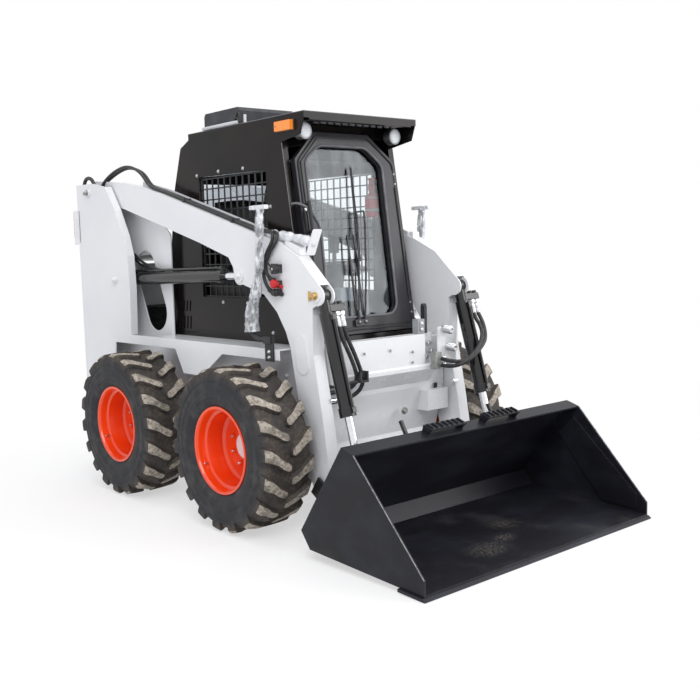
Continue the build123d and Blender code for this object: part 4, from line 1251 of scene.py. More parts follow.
    def build_rim(self) -> None:
        """Build the deep rim in place of its solid."""
        dish = Form()
        dish.lathe(facing(self.centre, self.outward), self.rim, 96)
        dish.piece(
            f"dished_rim_{self.name}", (ORANGE,), self.body, "orange_paint", origin=self.centre,
            sharp=30.0, replaces=[f"rim_{self.name}"]
        )

    def build_nuts(self) -> None:
        """Build the wheel nuts on their studs, and the pale hub cap."""
        form = Form()
        for number in range(self.nut_count):
            angle = math.tau * (number + 0.5) / self.nut_count
            foot = self.centre + Vector(
                (
                    self.side * (self.disc - 1), math.cos(angle) * self.nut_circle,
                    math.sin(angle) * self.nut_circle
                )
            ) * MM
            base = facing(foot, self.outward)
            form.turned(base, [(0, 15), (2, 15), (3, 13)], 24)
            form.turned(base, [(2, 12.5), (11, 12.5), (14, 10)], 6, 0, turn=angle)
            form.turned(base, [(12, 7), (21, 7), (23, 5.5)], 16, 1)
        form.piece(
            f"wheel_nuts_{self.name}", (ORANGE, BRIGHT), self.body, "orange_paint",
            origin=self.centre
        )
        cap = Form()
        cap.turned(
            facing(self.centre + Vector((self.side * self.hub_face * MM, 0, 0)), self.outward),
            [(0, 64.5), (3, 64.5), (5, 62), (6, 30)], 48
        )
        cap.piece(
            f"hub_cap_{self.name}", (WHITE,), self.body, "white_paint", origin=self.centre,
            bevel=0.8
        )

    def build_valve(self) -> None:
        """Build the valve with its plate and its triangular guard."""
        valve = Form()
        angle = math.radians(self.valve_angle)
        radial = Vector((0.0, math.cos(angle), math.sin(angle)))
        along = Vector((0.0, -math.sin(angle), math.cos(angle)))
        seat = self.centre + (radial * 200 + Vector((self.side * 92, 0, 0))) * MM
        guard = facing(seat, -radial, along)
        valve.prism(guard, [(-11, -30), (11, -30), (11, 30), (-11, 30)], 2.5, 1)
        plate = facing(seat - along * 1.5 * MM, along, self.outward)
        valve.prism(plate, [(0, -9), (0, 10), (26, 2)], 3.0, 1)
        valve.pipe(
            [
                seat, seat - radial * 14 * MM,
                seat + (Vector((self.side * 26, 0, 0)) - radial * 17) * MM
            ], 4, 12
        )
        valve.piece(
            f"valve_{self.name}", (BRIGHT, ORANGE), self.body, "orange_paint", origin=self.centre,
            bevel=0.6
        )

    def build(self) -> None:
        """Build and dress the whole wheel."""
        self.build_tyre()
        self.build_rim()
        self.build_nuts()
        self.build_valve()


# The machine's fixed parts


@dataclass
class Chassis:
    """The welded frame, its towers, fenders, lamps and engine covers."""

    pin_bolt: float = 24.0
    axle_end: float = 645.5
    axle_radius: float = 70.0
    flange_face: float = 462.0
    flange_circle: float = 84.0
    flange_bolts: int = 10
    front: float = -330.0
    apron: float = -398.0

    def paint(self) -> None:
        """Paint the CAD nodes of the frame."""
        repaint(
            WHITE, "frame_sides", "frame_floor", "deck", "fenders", "rear_bumper", "tower_right",
            "tower_left", "rear_door", "hood"
        )
        repaint(APRON_WHITE, "frame_front", "front_apron")
        repaint(CASTING, "engine")

    def build_axles(self) -> None:
        """Build the axle tubes, which end at the dished rims' hubs, with their flange bolts."""
        form = Form()
        for _, side in SIDES:
            for axle in (0.0, WHEELBASE):
                base = facing(spot(0, axle, TYRE_RADIUS), (side, 0, 0))
                form.turned(
                    base,
                    [
                        (440.3, 96), (460, 96), (self.flange_face, 94), (self.flange_face, 76),
                        (468, self.axle_radius), (self.axle_end, self.axle_radius),
                    ], 48
                )
                for number in range(self.flange_bolts):
                    angle = math.tau * number / self.flange_bolts
                    back = self.flange_circle * math.cos(angle)
                    up = self.flange_circle * math.sin(angle)
                    form.bolt(
                        spot(side * self.flange_face, axle + back, TYRE_RADIUS + up), (side, 0, 0),
                        11.0, 1
                    )
        form.piece(
            "axle_tubes_short", (WHITE, DULL_STEEL), "machine", "white_paint",
            replaces=["axle_tubes"]
        )

    def build_pins(self) -> None:
        """Build the pin bolts on both towers: bare at the arm's pivot, painted at the cylinder."""
        form = Form()
        for _, side in SIDES:
            face = side * (PLATE_HALF + 9)
            way = (side, 0, 0)
            for (rearwards, up), bolt in ((ARM_PIVOT, 0), (LIFT_BASE, 1)):
                base = facing(spot(face, rearwards, up), way)
                form.turned(base, [(0, 24), (4, 24), (5, 22)], 32, 1)
                form.bolt(spot(face + side * 4, rearwards, up), way, self.pin_bolt, bolt)
            face = side * PLATE_HALF
            lock = facing(spot(face, ARM_PIVOT[0], ARM_PIVOT[1]), way)
            form.prism(lock, [(-66, -11), (-24, -11), (-24, 11), (-66, 11)], 6.0, 1)
            form.bolt(spot(face + side * 6, ARM_PIVOT[0] + 52, ARM_PIVOT[1]), way, 13.0)
        form.piece("tower_pin_bolts", (DULL_STEEL, WHITE), "machine", bevel=0.4)

    def build_tower_hoses(self) -> None:
        """Build the short hose loops that show over the towers' tops."""
        form = Form()
        for _, side in SIDES:
            x = side * 547
            form.hose(
                [
                    (x, 1884, 1790), (x, 1882, 1850), (x, 1856, 1888), (x, 1812, 1897),
                    (x, 1764, 1880), (x, 1738, 1842), (x, 1732, 1780)
                ], 12
            )
        form.piece("tower_hose_loops", (HOSE,), "machine")

    def build_tail_lamps(self) -> None:
        """Build the ribbed tail lamps: amber over red and a clear cover, on a white bracket."""
        rear, top = TAIL - 23, ARM_PIVOT[1]
        for name, side in SIDES:
            form = Form()
            for material, (foot, head, depth) in enumerate(
                ((180, 112, 21), (282, 182, 21), (316, 284, 19))
            ):
                form.box(
                    (side * 556, rear + 2, top - foot), (side * 604, rear + depth, top - head),
                    material
                )
            form.piece(
                f"tail_lenses_{name}", (AMBER, RED, CLEAR), "machine", "red_lens", bevel=3.0,
                replaces=["tail_lamps"] if side < 0 else []
            )
            plate = Form()
            plate.box((side * 548, rear + 0.3, top - 326), (side * 610, rear + 2, top - 104))
            near, far = side * (PLATE_HALF + 0.2), side * (PLATE_HALF + 1.2)
            plate.box((near, rear - 22, top - 312), (far, rear - 16, top - 108), 1)
            plate.piece(
                f"tail_lamp_bracket_{name}", (WHITE, PLASTIC), "machine", "white_paint", bevel=0.4
            )

    def build_front_fittings(self) -> None:
        """Build the front's bolts and plug, a dark patch that paints the shade in a hole, and the
        unions in the apron's niche.
        """
        form = Form()
        for x, up in ((-223, 866), (-41, 866), (122, 844), (121, 790)):
            form.bolt(spot(x, self.apron, up), Along.FRONT, 9.0)
        form.bolt(spot(121, self.front, 528), Along.FRONT, 26.0)
        # A thin dark patch paints the shade inside a hole.
        form.box((352, self.front - 0.6, 614), (380, self.front - 0.1, 648), 1)
        form.piece("front_bolts_and_painted_hole_shade", (DULL_STEEL, DARK_TRIM_AND_PAINTED_SHADE), "machine", bevel=0.4)
        unions = Form()
        for x, up, reach in (
            (240, 884, 36), (276, 872, 44), (248, 838, 40), (292, 828, 46), (262, 800, 38)
        ):
            unions.fitting(spot(x, self.front - 2, up), (0.12, -1, 0.05), reach, 9.5)
        unions.box((232, self.front - 14, 786), (306, self.front - 0.5, 900), 1)
        unions.piece("niche_unions", (BRIGHT, DULL_STEEL), "machine", bevel=0.4)
        valve = Form()
        valve.box((186, -378, 931), (236, -338, 1008))
        valve.box((196, -384, 950), (226, -378, 996))
        valve.box((242, -372, 931), (262, -344, 1074), 1)
        valve.turned(facing(spot(252, -358, 1074), Along.UP), [(0, 15), (10, 15), (14, 10)], 20, 1)
        for up in (952, 984):
            valve.bolt(spot(211, -384, up), Along.FRONT, 12.0, 2)
        valve.piece("door_side_valve", (GREY_PLASTIC, PLASTIC, BRIGHT), "machine", bevel=1.6)

    def build_leg_trim(self) -> None:
        """Build the grease caps beside the front tyres."""
        form = Form()
        for _, side in SIDES:
            base = facing(spot(side * 522, -150, 766), (side, 0, 0))
            form.lathe(base, [(0, 0), (0, 12), (8, 12), (12, 8), (14, 0)], 20)
        form.piece("grease_caps", (GREY_PLASTIC,), "lift_arms")

    def build_rear_trim(self) -> None:
        """Build the rear door's latch and hinge bolts."""
        form = Form()
        form.box((-392, TAIL - 0.5, 900), (-352, TAIL - 0.1, 990), 1)
        form.turned(facing(spot(-372, TAIL - 1.5, 962), Along.REAR), [(0, 14), (1.2, 14)], 24)
        for up in (640, 690, 1176, 1226):
            for x in (392, 412):
                form.turned(facing(spot(x, TAIL - 1.5, up), Along.REAR), [(0, 6), (1.3, 5)], 12)
        form.piece("rear_door_latch", (DULL_STEEL, DARK_TRIM_AND_PAINTED_SHADE), "rear_door")

    def build(self) -> None:
        """Build and dress the chassis."""
        self.paint()
        self.build_axles()
        self.build_pins()
        self.build_tower_hoses()
        self.build_tail_lamps()
        self.build_front_fittings()
        self.build_leg_trim()
        self.build_rear_trim()


@dataclass
class Cab:
    """The operator's cab with its door, guards, lamps and roof unit."""

    window_bolts: Sequence[tuple[float, float]] = (
        (112, 960), (330, 1835), (560, 1838), (775, 1830), (800, 1500), (800, 1250), (330, 1112),
        (560, 1112), (100, 1350), (100, 1620),
    )
    door_tall: float = 1062.8
    door_face: float = 34.3
    lamp_x: float = 318.0
    lamp_up: float = 1987.0

    @property
    def glass_outline(self) -> list[tuple[float, float]]:
        """Corners of the door's window, across and up the door."""
        top = self.door_tall
        return [
            (-196, 88), (188, 88), (230, 132), (252, top - 166), (140, top - 72), (-188, top - 72),
            (-290, top - 148), (-298, 650), (-245, 566), (-262, 150)
        ]

    def paint(self) -> None:
        """Paint the CAD nodes of the cab."""
        repaint(CAB_BLACK, "cab_side_right", "cab_side_left", "cab_roof", "cab_rear", "cab_front")
        repaint(DOOR_BLACK, "door", "side_guards")
        repaint(GLASS, "rear_glass", "door_glass")
        repaint(CHARCOAL, "ac_unit")
        repaint(PLASTIC, "consoles")
        repaint(AMBER, "marker_lamps")
        repaint(DULL_STEEL, "work_lamps")

    def build_bolts(self) -> None:
        """Build the small pale bolt heads round both side windows."""
        form = Form()
        for _, side in SIDES:
            for rearwards, up in self.window_bolts:
                form.bolt(spot(side * CAB_HALF, rearwards, up), (side, 0, 0), 11.0)
        form.piece("window_bolts", (BRIGHT,), "machine")

    def build_side_trim(self) -> None:
        """Build the crease on both sides, grey lines that paint the highlights on the roof edge and
        the pillar, and the visor's slots in the same grey, which paints the highlights on their
        edges.
        """
        form = Form()
        for _, side in SIDES:
            x = side * (CAB_HALF - 0.8)
            crease = [(858, 2029), (698, 2031), (169, 2012), (98, 1978)]
            form.pipe([spot(x, rearwards, up) for rearwards, up in crease], 2.2, 8)
            # Roof edge and pillar: thin grey bars that paint the highlight on those edges.
            form.pipe(
                [spot(side * (CAB_HALF - 1.5), rearwards, ROOF - 1.5) for rearwards in (848, -184)],
                2.2, 8, 1
            )
            pillar = [(-164, 945), (-9, 1935)]
            form.pipe(
                [spot(side * (CAB_HALF - 1), rearwards + 3, up) for rearwards, up in pillar], 2.2,
                8, 1
            )
        # The same grey bar along the roof's front edge paints its highlight.
        form.pipe([spot(x, -184.5, ROOF - 1.5) for x in (-CAB_HALF + 2, CAB_HALF - 2)], 2.2, 8, 1)
        form.piece("cab_creases_and_painted_edge_highlights", (CAB_BLACK, GREY_TRIM_AND_PAINTED_HIGHLIGHT), "machine")
        slots = Form()
        for row, rearwards in enumerate((-160, -134, -108, -82)):
            up = ROOF - 34 - (-20 - rearwards) / 154 * 12
            for number in range(11):
                x = -250 + number * 50 + (25 if row % 2 else 0)
                if x > 262:
                    continue
                # Each slot is a grey raised box that paints the highlight on a slot's edges.
                slots.box((x - 16, rearwards - 3.5, up - 2.2), (x + 16, rearwards + 3.5, up + 0.5))
        slots.piece("visor_slots_painted_highlight", (GREY_TRIM_AND_PAINTED_HIGHLIGHT,), "machine", bevel=0.8)

    def build_seals(self) -> None:
        """Build the window's rubber seal and the door's edge seal."""
        seal = Form()
        seal.loop(door_frame(41.5), rounded_outline(self.glass_outline, 34), 6.5, 10)
        seal.loop(door_frame(15.5), rounded_outline(self.glass_outline, 34), 4.5, 8, 1)
        top = self.door_tall
        edge = [
            (-336, 20), (336, 20), (336, top - 154), (172, top - 20), (-198, top - 20),
            (-336, top - 154)
        ]
        seal.loop(door_frame(37.0), rounded_outline(edge, 26), 4.0, 8, 1)
        seal.piece("door_seals", (RUBBER_TRIM, DARK_TRIM_AND_PAINTED_SHADE), "door")

    def build_wiper(self) -> None:
        """Build the wiper's blade, its arms and their two spindles."""
        wiper = Form()
        blade = [
            on_door(*place) for place in ((2, 380, 40), (8, 520, 43), (14, 680, 43), (22, 880, 39))
        ]
        wiper.pipe(smooth_line(blade), 4.2, 8)
        for radius, sides, route in (
            (3.2, 8, ((0, 350, 32), (9, 620, 32), (23, 886, 32))),
            (5.5, 10, ((-76, 62, 52), (-36, 300, 56), (6, 560, 50), (10, 600, 46))),
            (5.5, 10, ((-30, 62, 52), (14, 300, 56), (58, 560, 52), (66, 646, 48))),
            (4.5, 8, ((10, 640, 46), (66, 646, 48))), (6.5, 8, ((10, 640, 46), (12, 596, 46))),
        ):
            wiper.pipe([on_door(*place) for place in route], radius, sides)
        for across in (-76, -30):
            spindle = facing(on_door(across, 60, 34), DOOR_OUT)
            wiper.turned(spindle, [(0, 15), (20, 15), (24, 11)], 24)
            wiper.turned(facing(on_door(across, 60, 58), DOOR_OUT), [(0, 7), (6, 6)], 6, 1)
        wiper.piece("wiper", (PLASTIC, DULL_STEEL), "door", bevel=0.6)

    def build_hinges(self) -> None:
        """Build the hinges' plates and bolts, and the latch screw."""
        trim = Form()
        trim.bolt(on_door(-330, 656, 40), DOOR_OUT, 11.0)
        for up in (60, 770):
            for rise in (28, 82):
                trim.bolt(on_door(338, up + rise, self.door_face), DOOR_OUT, 11.0, 1)
            trim.prism(
                door_frame(self.door_face),
                [(322, up + 6), (352, up + 6), (352, up + 104), (322, up + 104)], 3.0, 2
            )
        trim.piece("door_trim", (BRIGHT, DULL_STEEL, DOOR_BLACK), "door", bevel=0.6)

    def build_handle(self) -> None:
        """Build the pale grab bar beside the door."""
        form = Form()
        form.pipe(
            smooth_line(
                [
                    spot(*place)
                    for place in (
                        (-389, -66, 1624), (-389, -96, 1626), (-384, -118, 1622),
                        (-356, -124, 1612), (-330, -124, 1598), (-318, -128, 1560),
                        (-314, -140, 1485), (-314, -128, 1478)
                    )
                ]
            ), 6.5, 12
        )
        form.piece("grab_bar", (GREY_TRIM_AND_PAINTED_HIGHLIGHT,), "door")

    def build_lamps(self) -> None:
        """Build the work lamps' dotted reflectors and clear lenses, and the marker lamps' bases."""
        form = Form()
        for _, side in SIDES:
            base = facing(spot(side * self.lamp_x, -100.3, self.lamp_up), Along.FRONT)
            form.turned(base, [(0, 42), (5, 42), (7, 40), (7, 37), (5, 35.5)], 40, 2)
            form.lathe(base, [(5.2, 0), (5.2, 35), (8, 30), (10, 18), (10.6, 0)], 40)
            for ring, count in ((0, 1), (11, 6), (22, 11), (31, 16)):
                for number in range(count):
                    angle = math.tau * number / count
                    bump = facing(
                        spot(
                            side * self.lamp_x + ring * math.cos(angle),
                            -100.3 - (10.4 - (ring / 31) ** 2 * 3.4),
                            self.lamp_up + ring * math.sin(angle)
                        ), Along.FRONT
                    )
                    form.lathe(bump, [(-1, 0), (-1, 3.2), (0.8, 2.6), (1.6, 0)], 8, 2)
        form.piece("lamp_faces", (CLEAR, DULL_STEEL, GREY_PLASTIC), "machine", "lamp_lens")
        plates = Form()
        for _, side in SIDES:
            plates.box(
                (side * (CAB_HALF + 0.2), -116, ROOF - 88), (side * (CAB_HALF + 5), 26, ROOF - 31)
            )
            for up in (ROOF - 62, ROOF - 56):
                plates.turned(
                    facing(spot(side * (CAB_HALF + 25.5), 8, up), (side, 0, 0)), [(0, 3), (1, 3)],
                    10
                )
        plates.piece("marker_bases", (PLASTIC,), "machine", bevel=1.0)

    def build_roof_unit_trim(self) -> None:
        """Build the pale pipe, the hook and the stub at the roof unit's foot."""
        form = Form()
        x = -CAB_HALF - 2
        form.pipe([spot(x, 690, ROOF + 10), spot(x, 360, ROOF + 10)], 9.5)
        form.pipe([spot(-CAB_HALF + 4, 300, ROOF), spot(-CAB_HALF + 4, 300, ROOF + 42)], 8, 12)
        hook = [
            (x, 395, ROOF + 6), (x - 2, 372, ROOF + 40), (x - 2, 352, ROOF + 66),
            (x - 2, 338, ROOF + 44), (x, 345, ROOF + 4)
        ]
        form.hose(hook, 4.0, 10, 1)
        form.hose(
            [(x - 6, 330, ROOF + 10), (x - 6, 360, ROOF + 34), (x - 6, 392, ROOF + 30)], 3.0, 8, 1
        )
        form.piece("roof_unit_pipe", (GREY_WHITE, PLASTIC), "machine")

    def build_extinguisher(self) -> None:
        """Build the red extinguisher on the cab's left wall."""
        form = Form()
        base = facing(spot(316, 84, 1560), Along.UP)
        form.turned(
            base,
            [(0, 30), (5, 37), (12, 39), (112, 39), (120, 36), (130, 24), (136, 15), (150, 14)]
        )
        form.turned(base, [(34, 39.4), (46, 39.4)], 32, 1)
        form.turned(base, [(104, 39.4), (116, 38.4)], 32, 1)
        form.turned(base, [(148, 20), (176, 20), (182, 14)], 20)
        form.box((300, 78, 1744), (332, 90, 1770))
        form.box((296, 60, 1768), (336, 100, 1778))
        form.box((350, 66, 1600), (361, 102, 1690), 2)
        form.piece("extinguisher_bottle", (RED_ENAMEL, DULL_STEEL, PLASTIC), "machine", bevel=0.8)

    def build_inside(self) -> None:
        """Build the control box, the light strip, two roof ribs and the header bar in the cab."""
        form = Form()
        form.box((-8, 6, 1104), (98, 84, 1176))
        form.box((186, 18, 1020), (212, 30, 1152), 1)
        for x in (-150, 150):
            form.box((x - 8, 120, 1996), (x + 8, 830, 2034), 2)
        form.box((-330, 110, 1850), (330, 124, 1866), 2)
        form.piece("cab_inside_trim", (GREY_PLASTIC, GREY_WHITE, PLASTIC), "machine", bevel=3.0)

    def add_cushion(
        self,
        name: str,
        frame_: Matrix,
        half: Point,
        channels: Sequence[float],
        replaces: Sequence[str] = (),
    ) -> None:
        """Add one padded piece of the seat.

        Args:
            name: the piece's name.
            frame_: its middle, with Z out of the padded face.
            half: half its size along X, Y and Z, in millimetres.
            channels: places of the sewn channels along Y, from -1 to 1.
            replaces: CAD nodes that it stands for.
        """
        form = Form()
        made = bmesh.ops.create_cube(form.mesh, size=2.0)
        edges = list({edge for vert in made["verts"] for edge in vert.link_edges})
        bmesh.ops.subdivide_edges(form.mesh, edges=edges, cuts=23, use_grid_fill=True)
        for vert in form.mesh.verts:
            a, b, c = vert.co
            round_a = a * math.sqrt(1 - 0.20 * b * b - 0.42 * c * c + 0.12 * b * b * c * c)
            round_b = b * math.sqrt(1 - 0.20 * a * a - 0.42 * c * c + 0.12 * a * a * c * c)
            round_c = c * math.sqrt(1 - 0.25 * a * a - 0.25 * b * b + 0.12 * a * a * b * b)
            inward = 1 - c * c
            round_a *= 1 - 0.035 * inward * (1 - b ** 4)
            round_b *= 1 - 0.035 * inward * (1 - a ** 4)
            if c > 0:
                dip = sum(
                    math.exp(-(((b - place) / 0.035) ** 2)) for place in channels
                ) * 0.16 * (1 - a ** 6)
                dip += math.exp(-(((abs(a) - 0.66) / 0.03) ** 2)) * 0.14 * (1 - b ** 6)
                bolster = 0.16 * max(0.0, abs(a) - 0.66) / 0.34
                round_c += (-dip * c ** 2 + bolster * c * (1 - b ** 4)) * 0.9
                round_c = min(round_c, 0.985)
            vert.co = frame_ @ (
                Vector((round_a * half[0], round_b * half[1], round_c * half[2])) * MM
            )
        pad = form.piece(name, (VINYL,), "machine", "seat_vinyl", sharp=60.0, replaces=replaces)

    def build_seat(self) -> None:
        """Build the seat: its base, and the cushion and back with their bolsters and channels."""
        lean = math.radians(6)
        self.add_cushion(
            "seat_cushion", facing(spot(0, 606, 1184), (0, -0.03, 1), (0, 1, 0)), (230, 206, 46),
            (-0.35, 0.05, 0.45), ["seat"]
        )
        self.add_cushion(
            "seat_back",
            facing(
                spot(0, 866, 1480), (0, -math.cos(lean), math.sin(lean)),
                (0, math.sin(lean), math.cos(lean))
            ), (224, 232, 48), (-0.4, 0.0, 0.4)
        )
        form = Form()
        form.box((-186, 482, DECK + 0.5), (186, 826, 1110))
        form.box((-205, 440, 1112), (205, 812, 1136), 1)
        form.box((-60, 838, 1150), (60, 868, 1300), 1)
        for _, side in SIDES:
            form.box((side * 236, 560, 1150), (side * 252, 640, 1176), 1)
        form.piece("seat_base", (PLASTIC, DARK_TRIM_AND_PAINTED_SHADE), "machine", "seat_vinyl", bevel=6.0)

    def build(self) -> None:
        """Build and dress the cab."""
        self.paint()
        self.build_bolts()
        self.build_side_trim()
        self.build_seals()
        self.build_wiper()
        self.build_hinges()
        self.build_handle()
        self.build_lamps()
        self.build_roof_unit_trim()
        self.build_extinguisher()
        self.build_inside()
        self.build_seat()


# Places (x, rearwards, up) of the hoses on the right knee, by where each lies on the arm's top
KNEE_ROUTES = {
    472: [
        (-480, 30, 1494), (-492, -42, 1487), (-513, -96, 1477), (-537, -122, 1455),
        (-541, -110, 1425), (-541, -70, 1392), (-541, -36, 1346), (-541, -24, 1302),
        (-541, -40, 1270), (-541, -80, 1247)
    ],
    494: [
        (-503, 40, 1492), (-511, -26, 1489), (-526, -70, 1483), (-540, -94, 1462),
        (-541, -82, 1430), (-541, -40, 1385), (-541, -12, 1332), (-541, -5, 1282),
        (-541, -17, 1240), (-541, -42, 1205), (-541, -84, 1182)
    ],
}
# Places of the two tilt hoses of each side, from the port block to the arm
TILT_ROUTES = {
    -1: [
        [
            (-420, -447, 973), (-376, -452, 885), (-334, -448, 805), (-314, -438, 755),
            (-322, -416, 715), (-358, -386, 693), (-400, -365, 690), (-449, -365, 690)
        ],
        [
            (-384, -447, 967), (-338, -452, 875), (-296, -448, 790), (-272, -438, 733),
            (-284, -414, 683), (-330, -384, 653), (-392, -365, 643), (-449, -365, 643)
        ]
    ],
    1: [
        [
            (556, -460, 985), (546, -492, 962), (512, -540, 918), (440, -580, 860),
            (372, -582, 808), (318, -560, 784), (292, -500, 787), (285, -446, 798)
        ],
        [
            (600, -456, 990), (590, -488, 940), (536, -540, 890), (459, -582, 860),
            (394, -588, 820), (320, -574, 778), (290, -516, 758), (285, -446, 762)
        ]
    ],
}


@dataclass
class LiftArms:
    """Both lift arms with their pins, cylinders, hoses and couplers."""

    hose_radius: float = 9.0
    tilt_hose_radius: float = 10.5
    top: Sequence[tuple[float, float]] = (
        (1760, 1871), (1500, 1846), (1236, 1804), (983, 1743), (88, 1486), (-99, 1438),
        (-262, 1360),
    )
    port_row: tuple[tuple[float, float], tuple[float, float]] = ((52.0, 84.0), (66.0, 102.0))

    def above(self, rearwards: float, over: float = 2.0) -> float:
        """Height of a hose's middle that lies along an arm's top."""
        for rear, front in zip(self.top, self.top[1:]):
            if front[0] <= rearwards <= rear[0]:
                share = (rear[0] - rearwards) / (rear[0] - front[0])
                return rear[1] + share * (front[1] - rear[1]) + self.hose_radius + over
        raise ValueError(f"the arm has no top at {rearwards}")

    def paint(self) -> None:
        """Paint the CAD nodes of the arms and cylinders."""
        repaint(WHITE, "arm_right", "arm_left", "arm_cross")
        for name, _ in SIDES:
            repaint(CYLINDER_BLACK, f"lift_barrel_{name}", f"tilt_barrel_{name}")
            repaint(CHROME, f"lift_rod_{name}", f"tilt_rod_{name}")

    def build_pins(self) -> None:
        """Build the pin bolts: brass with a lock plate at the right knee, plain elsewhere."""
        form = Form()
        for _, side in SIDES:
            face = side * (ARM_OUTER + 8)
            way = (side, 0, 0)
            form.bolt(spot(face, *LIFT_EYE), way, 24.0, 2)
            form.bolt(spot(face, *BUCKET_PIN), way, 22.0, 1)
            if side > 0:
                form.bolt(spot(face, *TILT_BASE), way, 22.0, 1)
                continue
            rear, up = TILT_BASE
            form.bolt(spot(face, rear + 6, up), way, 24.0)
            lock = facing(spot(face - side * 7, rear + 44, up), way)
            form.prism(lock, [(-16, -26), (14, -16), (18, 0), (14, 12), (-16, 24)], 5.0)
            form.bolt(spot(face - side * 2, rear + 46, up - 6), way, 13.0)
            inner = facing(spot(side * (ARM_INNER - 1), rear, up), Along.LEFT)
            form.turned(inner, [(0, 15), (3, 13)], 20, 1)
        form.piece("arm_pin_bolts", (YELLOW_ZINC, DULL_STEEL, WHITE), "lift_arms", bevel=0.4)

    def arch(self, side: int, x: float, lift: float) -> list[Point]:
        """Route of a hose that rises beside the pivot and comes down on the arm's top."""
        return [
            (side * 545, 1672, 1610), (side * 545, 1676, 1720), (side * 542, 1672, 1806),
            (side * (x + 34), 1642, 1860), (side * (x + 14), 1562, 1900 + lift),
            (side * x, 1480, 1924 + lift), (side * x, 1400, 1927 + lift),
            (side * x, 1310, 1908 + lift), (side * x, 1226, 1874),
            (side * x, 1150, self.above(1150, 5)),
        ]

    def build_arm_hoses(self) -> None:
        """Build the hoses that arch beside each pivot and run down the arm's top to the knee."""
        stations = (1060, 983, 760, 520, 300, 130)
        for name, side in SIDES:
            form = Form()
            for x, lift in ((472, 0), (494, 8)):
                route = self.arch(side, x, lift) + [
                    (side * x, rear, self.above(rear)) for rear in stations
                ]
                if side > 0:
                    route += [(side * x, rear, self.above(rear)) for rear in (40, -50)]
                else:
                    route += KNEE_ROUTES[x]
                form.hose(route, self.hose_radius, 14, 0, 6)
            for rear in (760, 300):
                up = self.above(rear)
                form.box((side * 456, rear - 9, up - 11), (side * 510, rear + 9, up + 10.5), 1)
            form.piece(
                f"arm_hoses_{name}", (HOSE, PLASTIC), "machine",
                bends=("lift_arms", spot(side * 545, 1640, 1850), spot(side * 472, 1240, 1880))
            )
            if side > 0:
                stop = Form()
                low = self.above(-70) - 12
                stop.box((460, -92, low - 8), (512, -56, low + 26))
                for x in (472, 494):
                    stop.fitting(spot(x, -56, self.above(-56)), (0, 1, 0.27), 46, 8.6, 1)
                stop.piece("arm_hose_block", (WHITE, BRIGHT), "lift_arms", bevel=1.0)

    def build_knee_couplers(self) -> None:
        """Build the three couplers on the right arm's knee: black knob, red valve, black valve."""
        way = Along.RIGHT
        face = -ARM_OUTER - 0.3
        form = Form()
        for rear, up, wide, tall in (
            (-117, 1302, 40, 44), (-112, 1226, 46, 36), (-108, 1184, 50, 32)
        ):
            form.box(
                (face - 22, rear - wide / 2, up - tall / 2), (face, rear + wide / 2, up + tall / 2)
            )
        base = facing(spot(face - 22, -117, 1302), way)
        star = []
        for number in range(48):
            angle = math.tau * number / 48
            reach = 25 + 4.5 * math.cos(6 * angle)
            star.append((reach * math.cos(angle), reach * math.sin(angle)))
        form.prism(base, star, 22.0)
        form.turned(base, [(21, 15), (28, 12)], 20)
        form.turned(base, [(27, 7), (29, 6)], 16, 2)
        base = facing(spot(face - 20, -118, 1228), way)
        form.lathe(
            base, [(0, 0), (0, 17), (14, 17), (14, 21), (20, 23), (30, 21), (36, 12), (38, 0)], 28,
            1
        )
        form.turned(
            facing(spot(face - 12, -92, 1236), (0, 1, 0.3)), [(0, 12), (16, 12), (18, 9)], 20, 1
        )
        form.turned(
            facing(spot(face - 12, -132, 1216), (0, -1, -0.5)), [(0, 10), (12, 10), (14, 7)], 20, 1
        )
        base = facing(spot(face - 20, -110, 1184), way)
        form.turned(base, [(0, 19), (12, 19), (14, 15), (24, 15), (26, 12)], 28)
        form.turned(
            facing(spot(face - 12, -132, 1178), (0, -1, -0.2)), [(0, 11), (14, 11), (16, 8)], 20
        )
        form.pipe([spot(-541, -95, 1306), spot(-541, -70, 1312), spot(-541, -48, 1330)], 5.0, 10)
        form.piece("knee_couplers", (PLASTIC, RED_CAP, BRIGHT), "lift_arms", bevel=1.2)
        ends = Form()
        ends.fitting(spot(-541, -86, 1181), (0, 0.9, 0.44), 40, 8.6)
        ends.fitting(spot(-541, -92, 1242), (0, 0.95, 0.35), 36, 8.6)
        ends.piece("knee_hose_ends", (BLACK_ZINC,), "lift_arms")

    def build_stay(self) -> None:
        """Build the right arm's stay: a bar wound in film, with its block and end plate."""
        form = Form()
        block = facing(spot(-ARM_OUTER + 16, 0, 0), Along.LEFT)
        form.prism(block, [(-145, 1417), (-145, 1443), (-258, 1405), (-258, 1363)], 40.0)
        plate = facing(spot(-486, -340, 1428), (0, -0.9, -0.44), (0, -0.44, 0.9))
        form.prism(plate, rounded_outline([(-28, -70), (28, -70), (28, 66), (-28, 66)], 10), 5.0)
        form.piece("arm_stay_bracket", (WHITE,), "lift_arms", "white_paint", bevel=1.0)
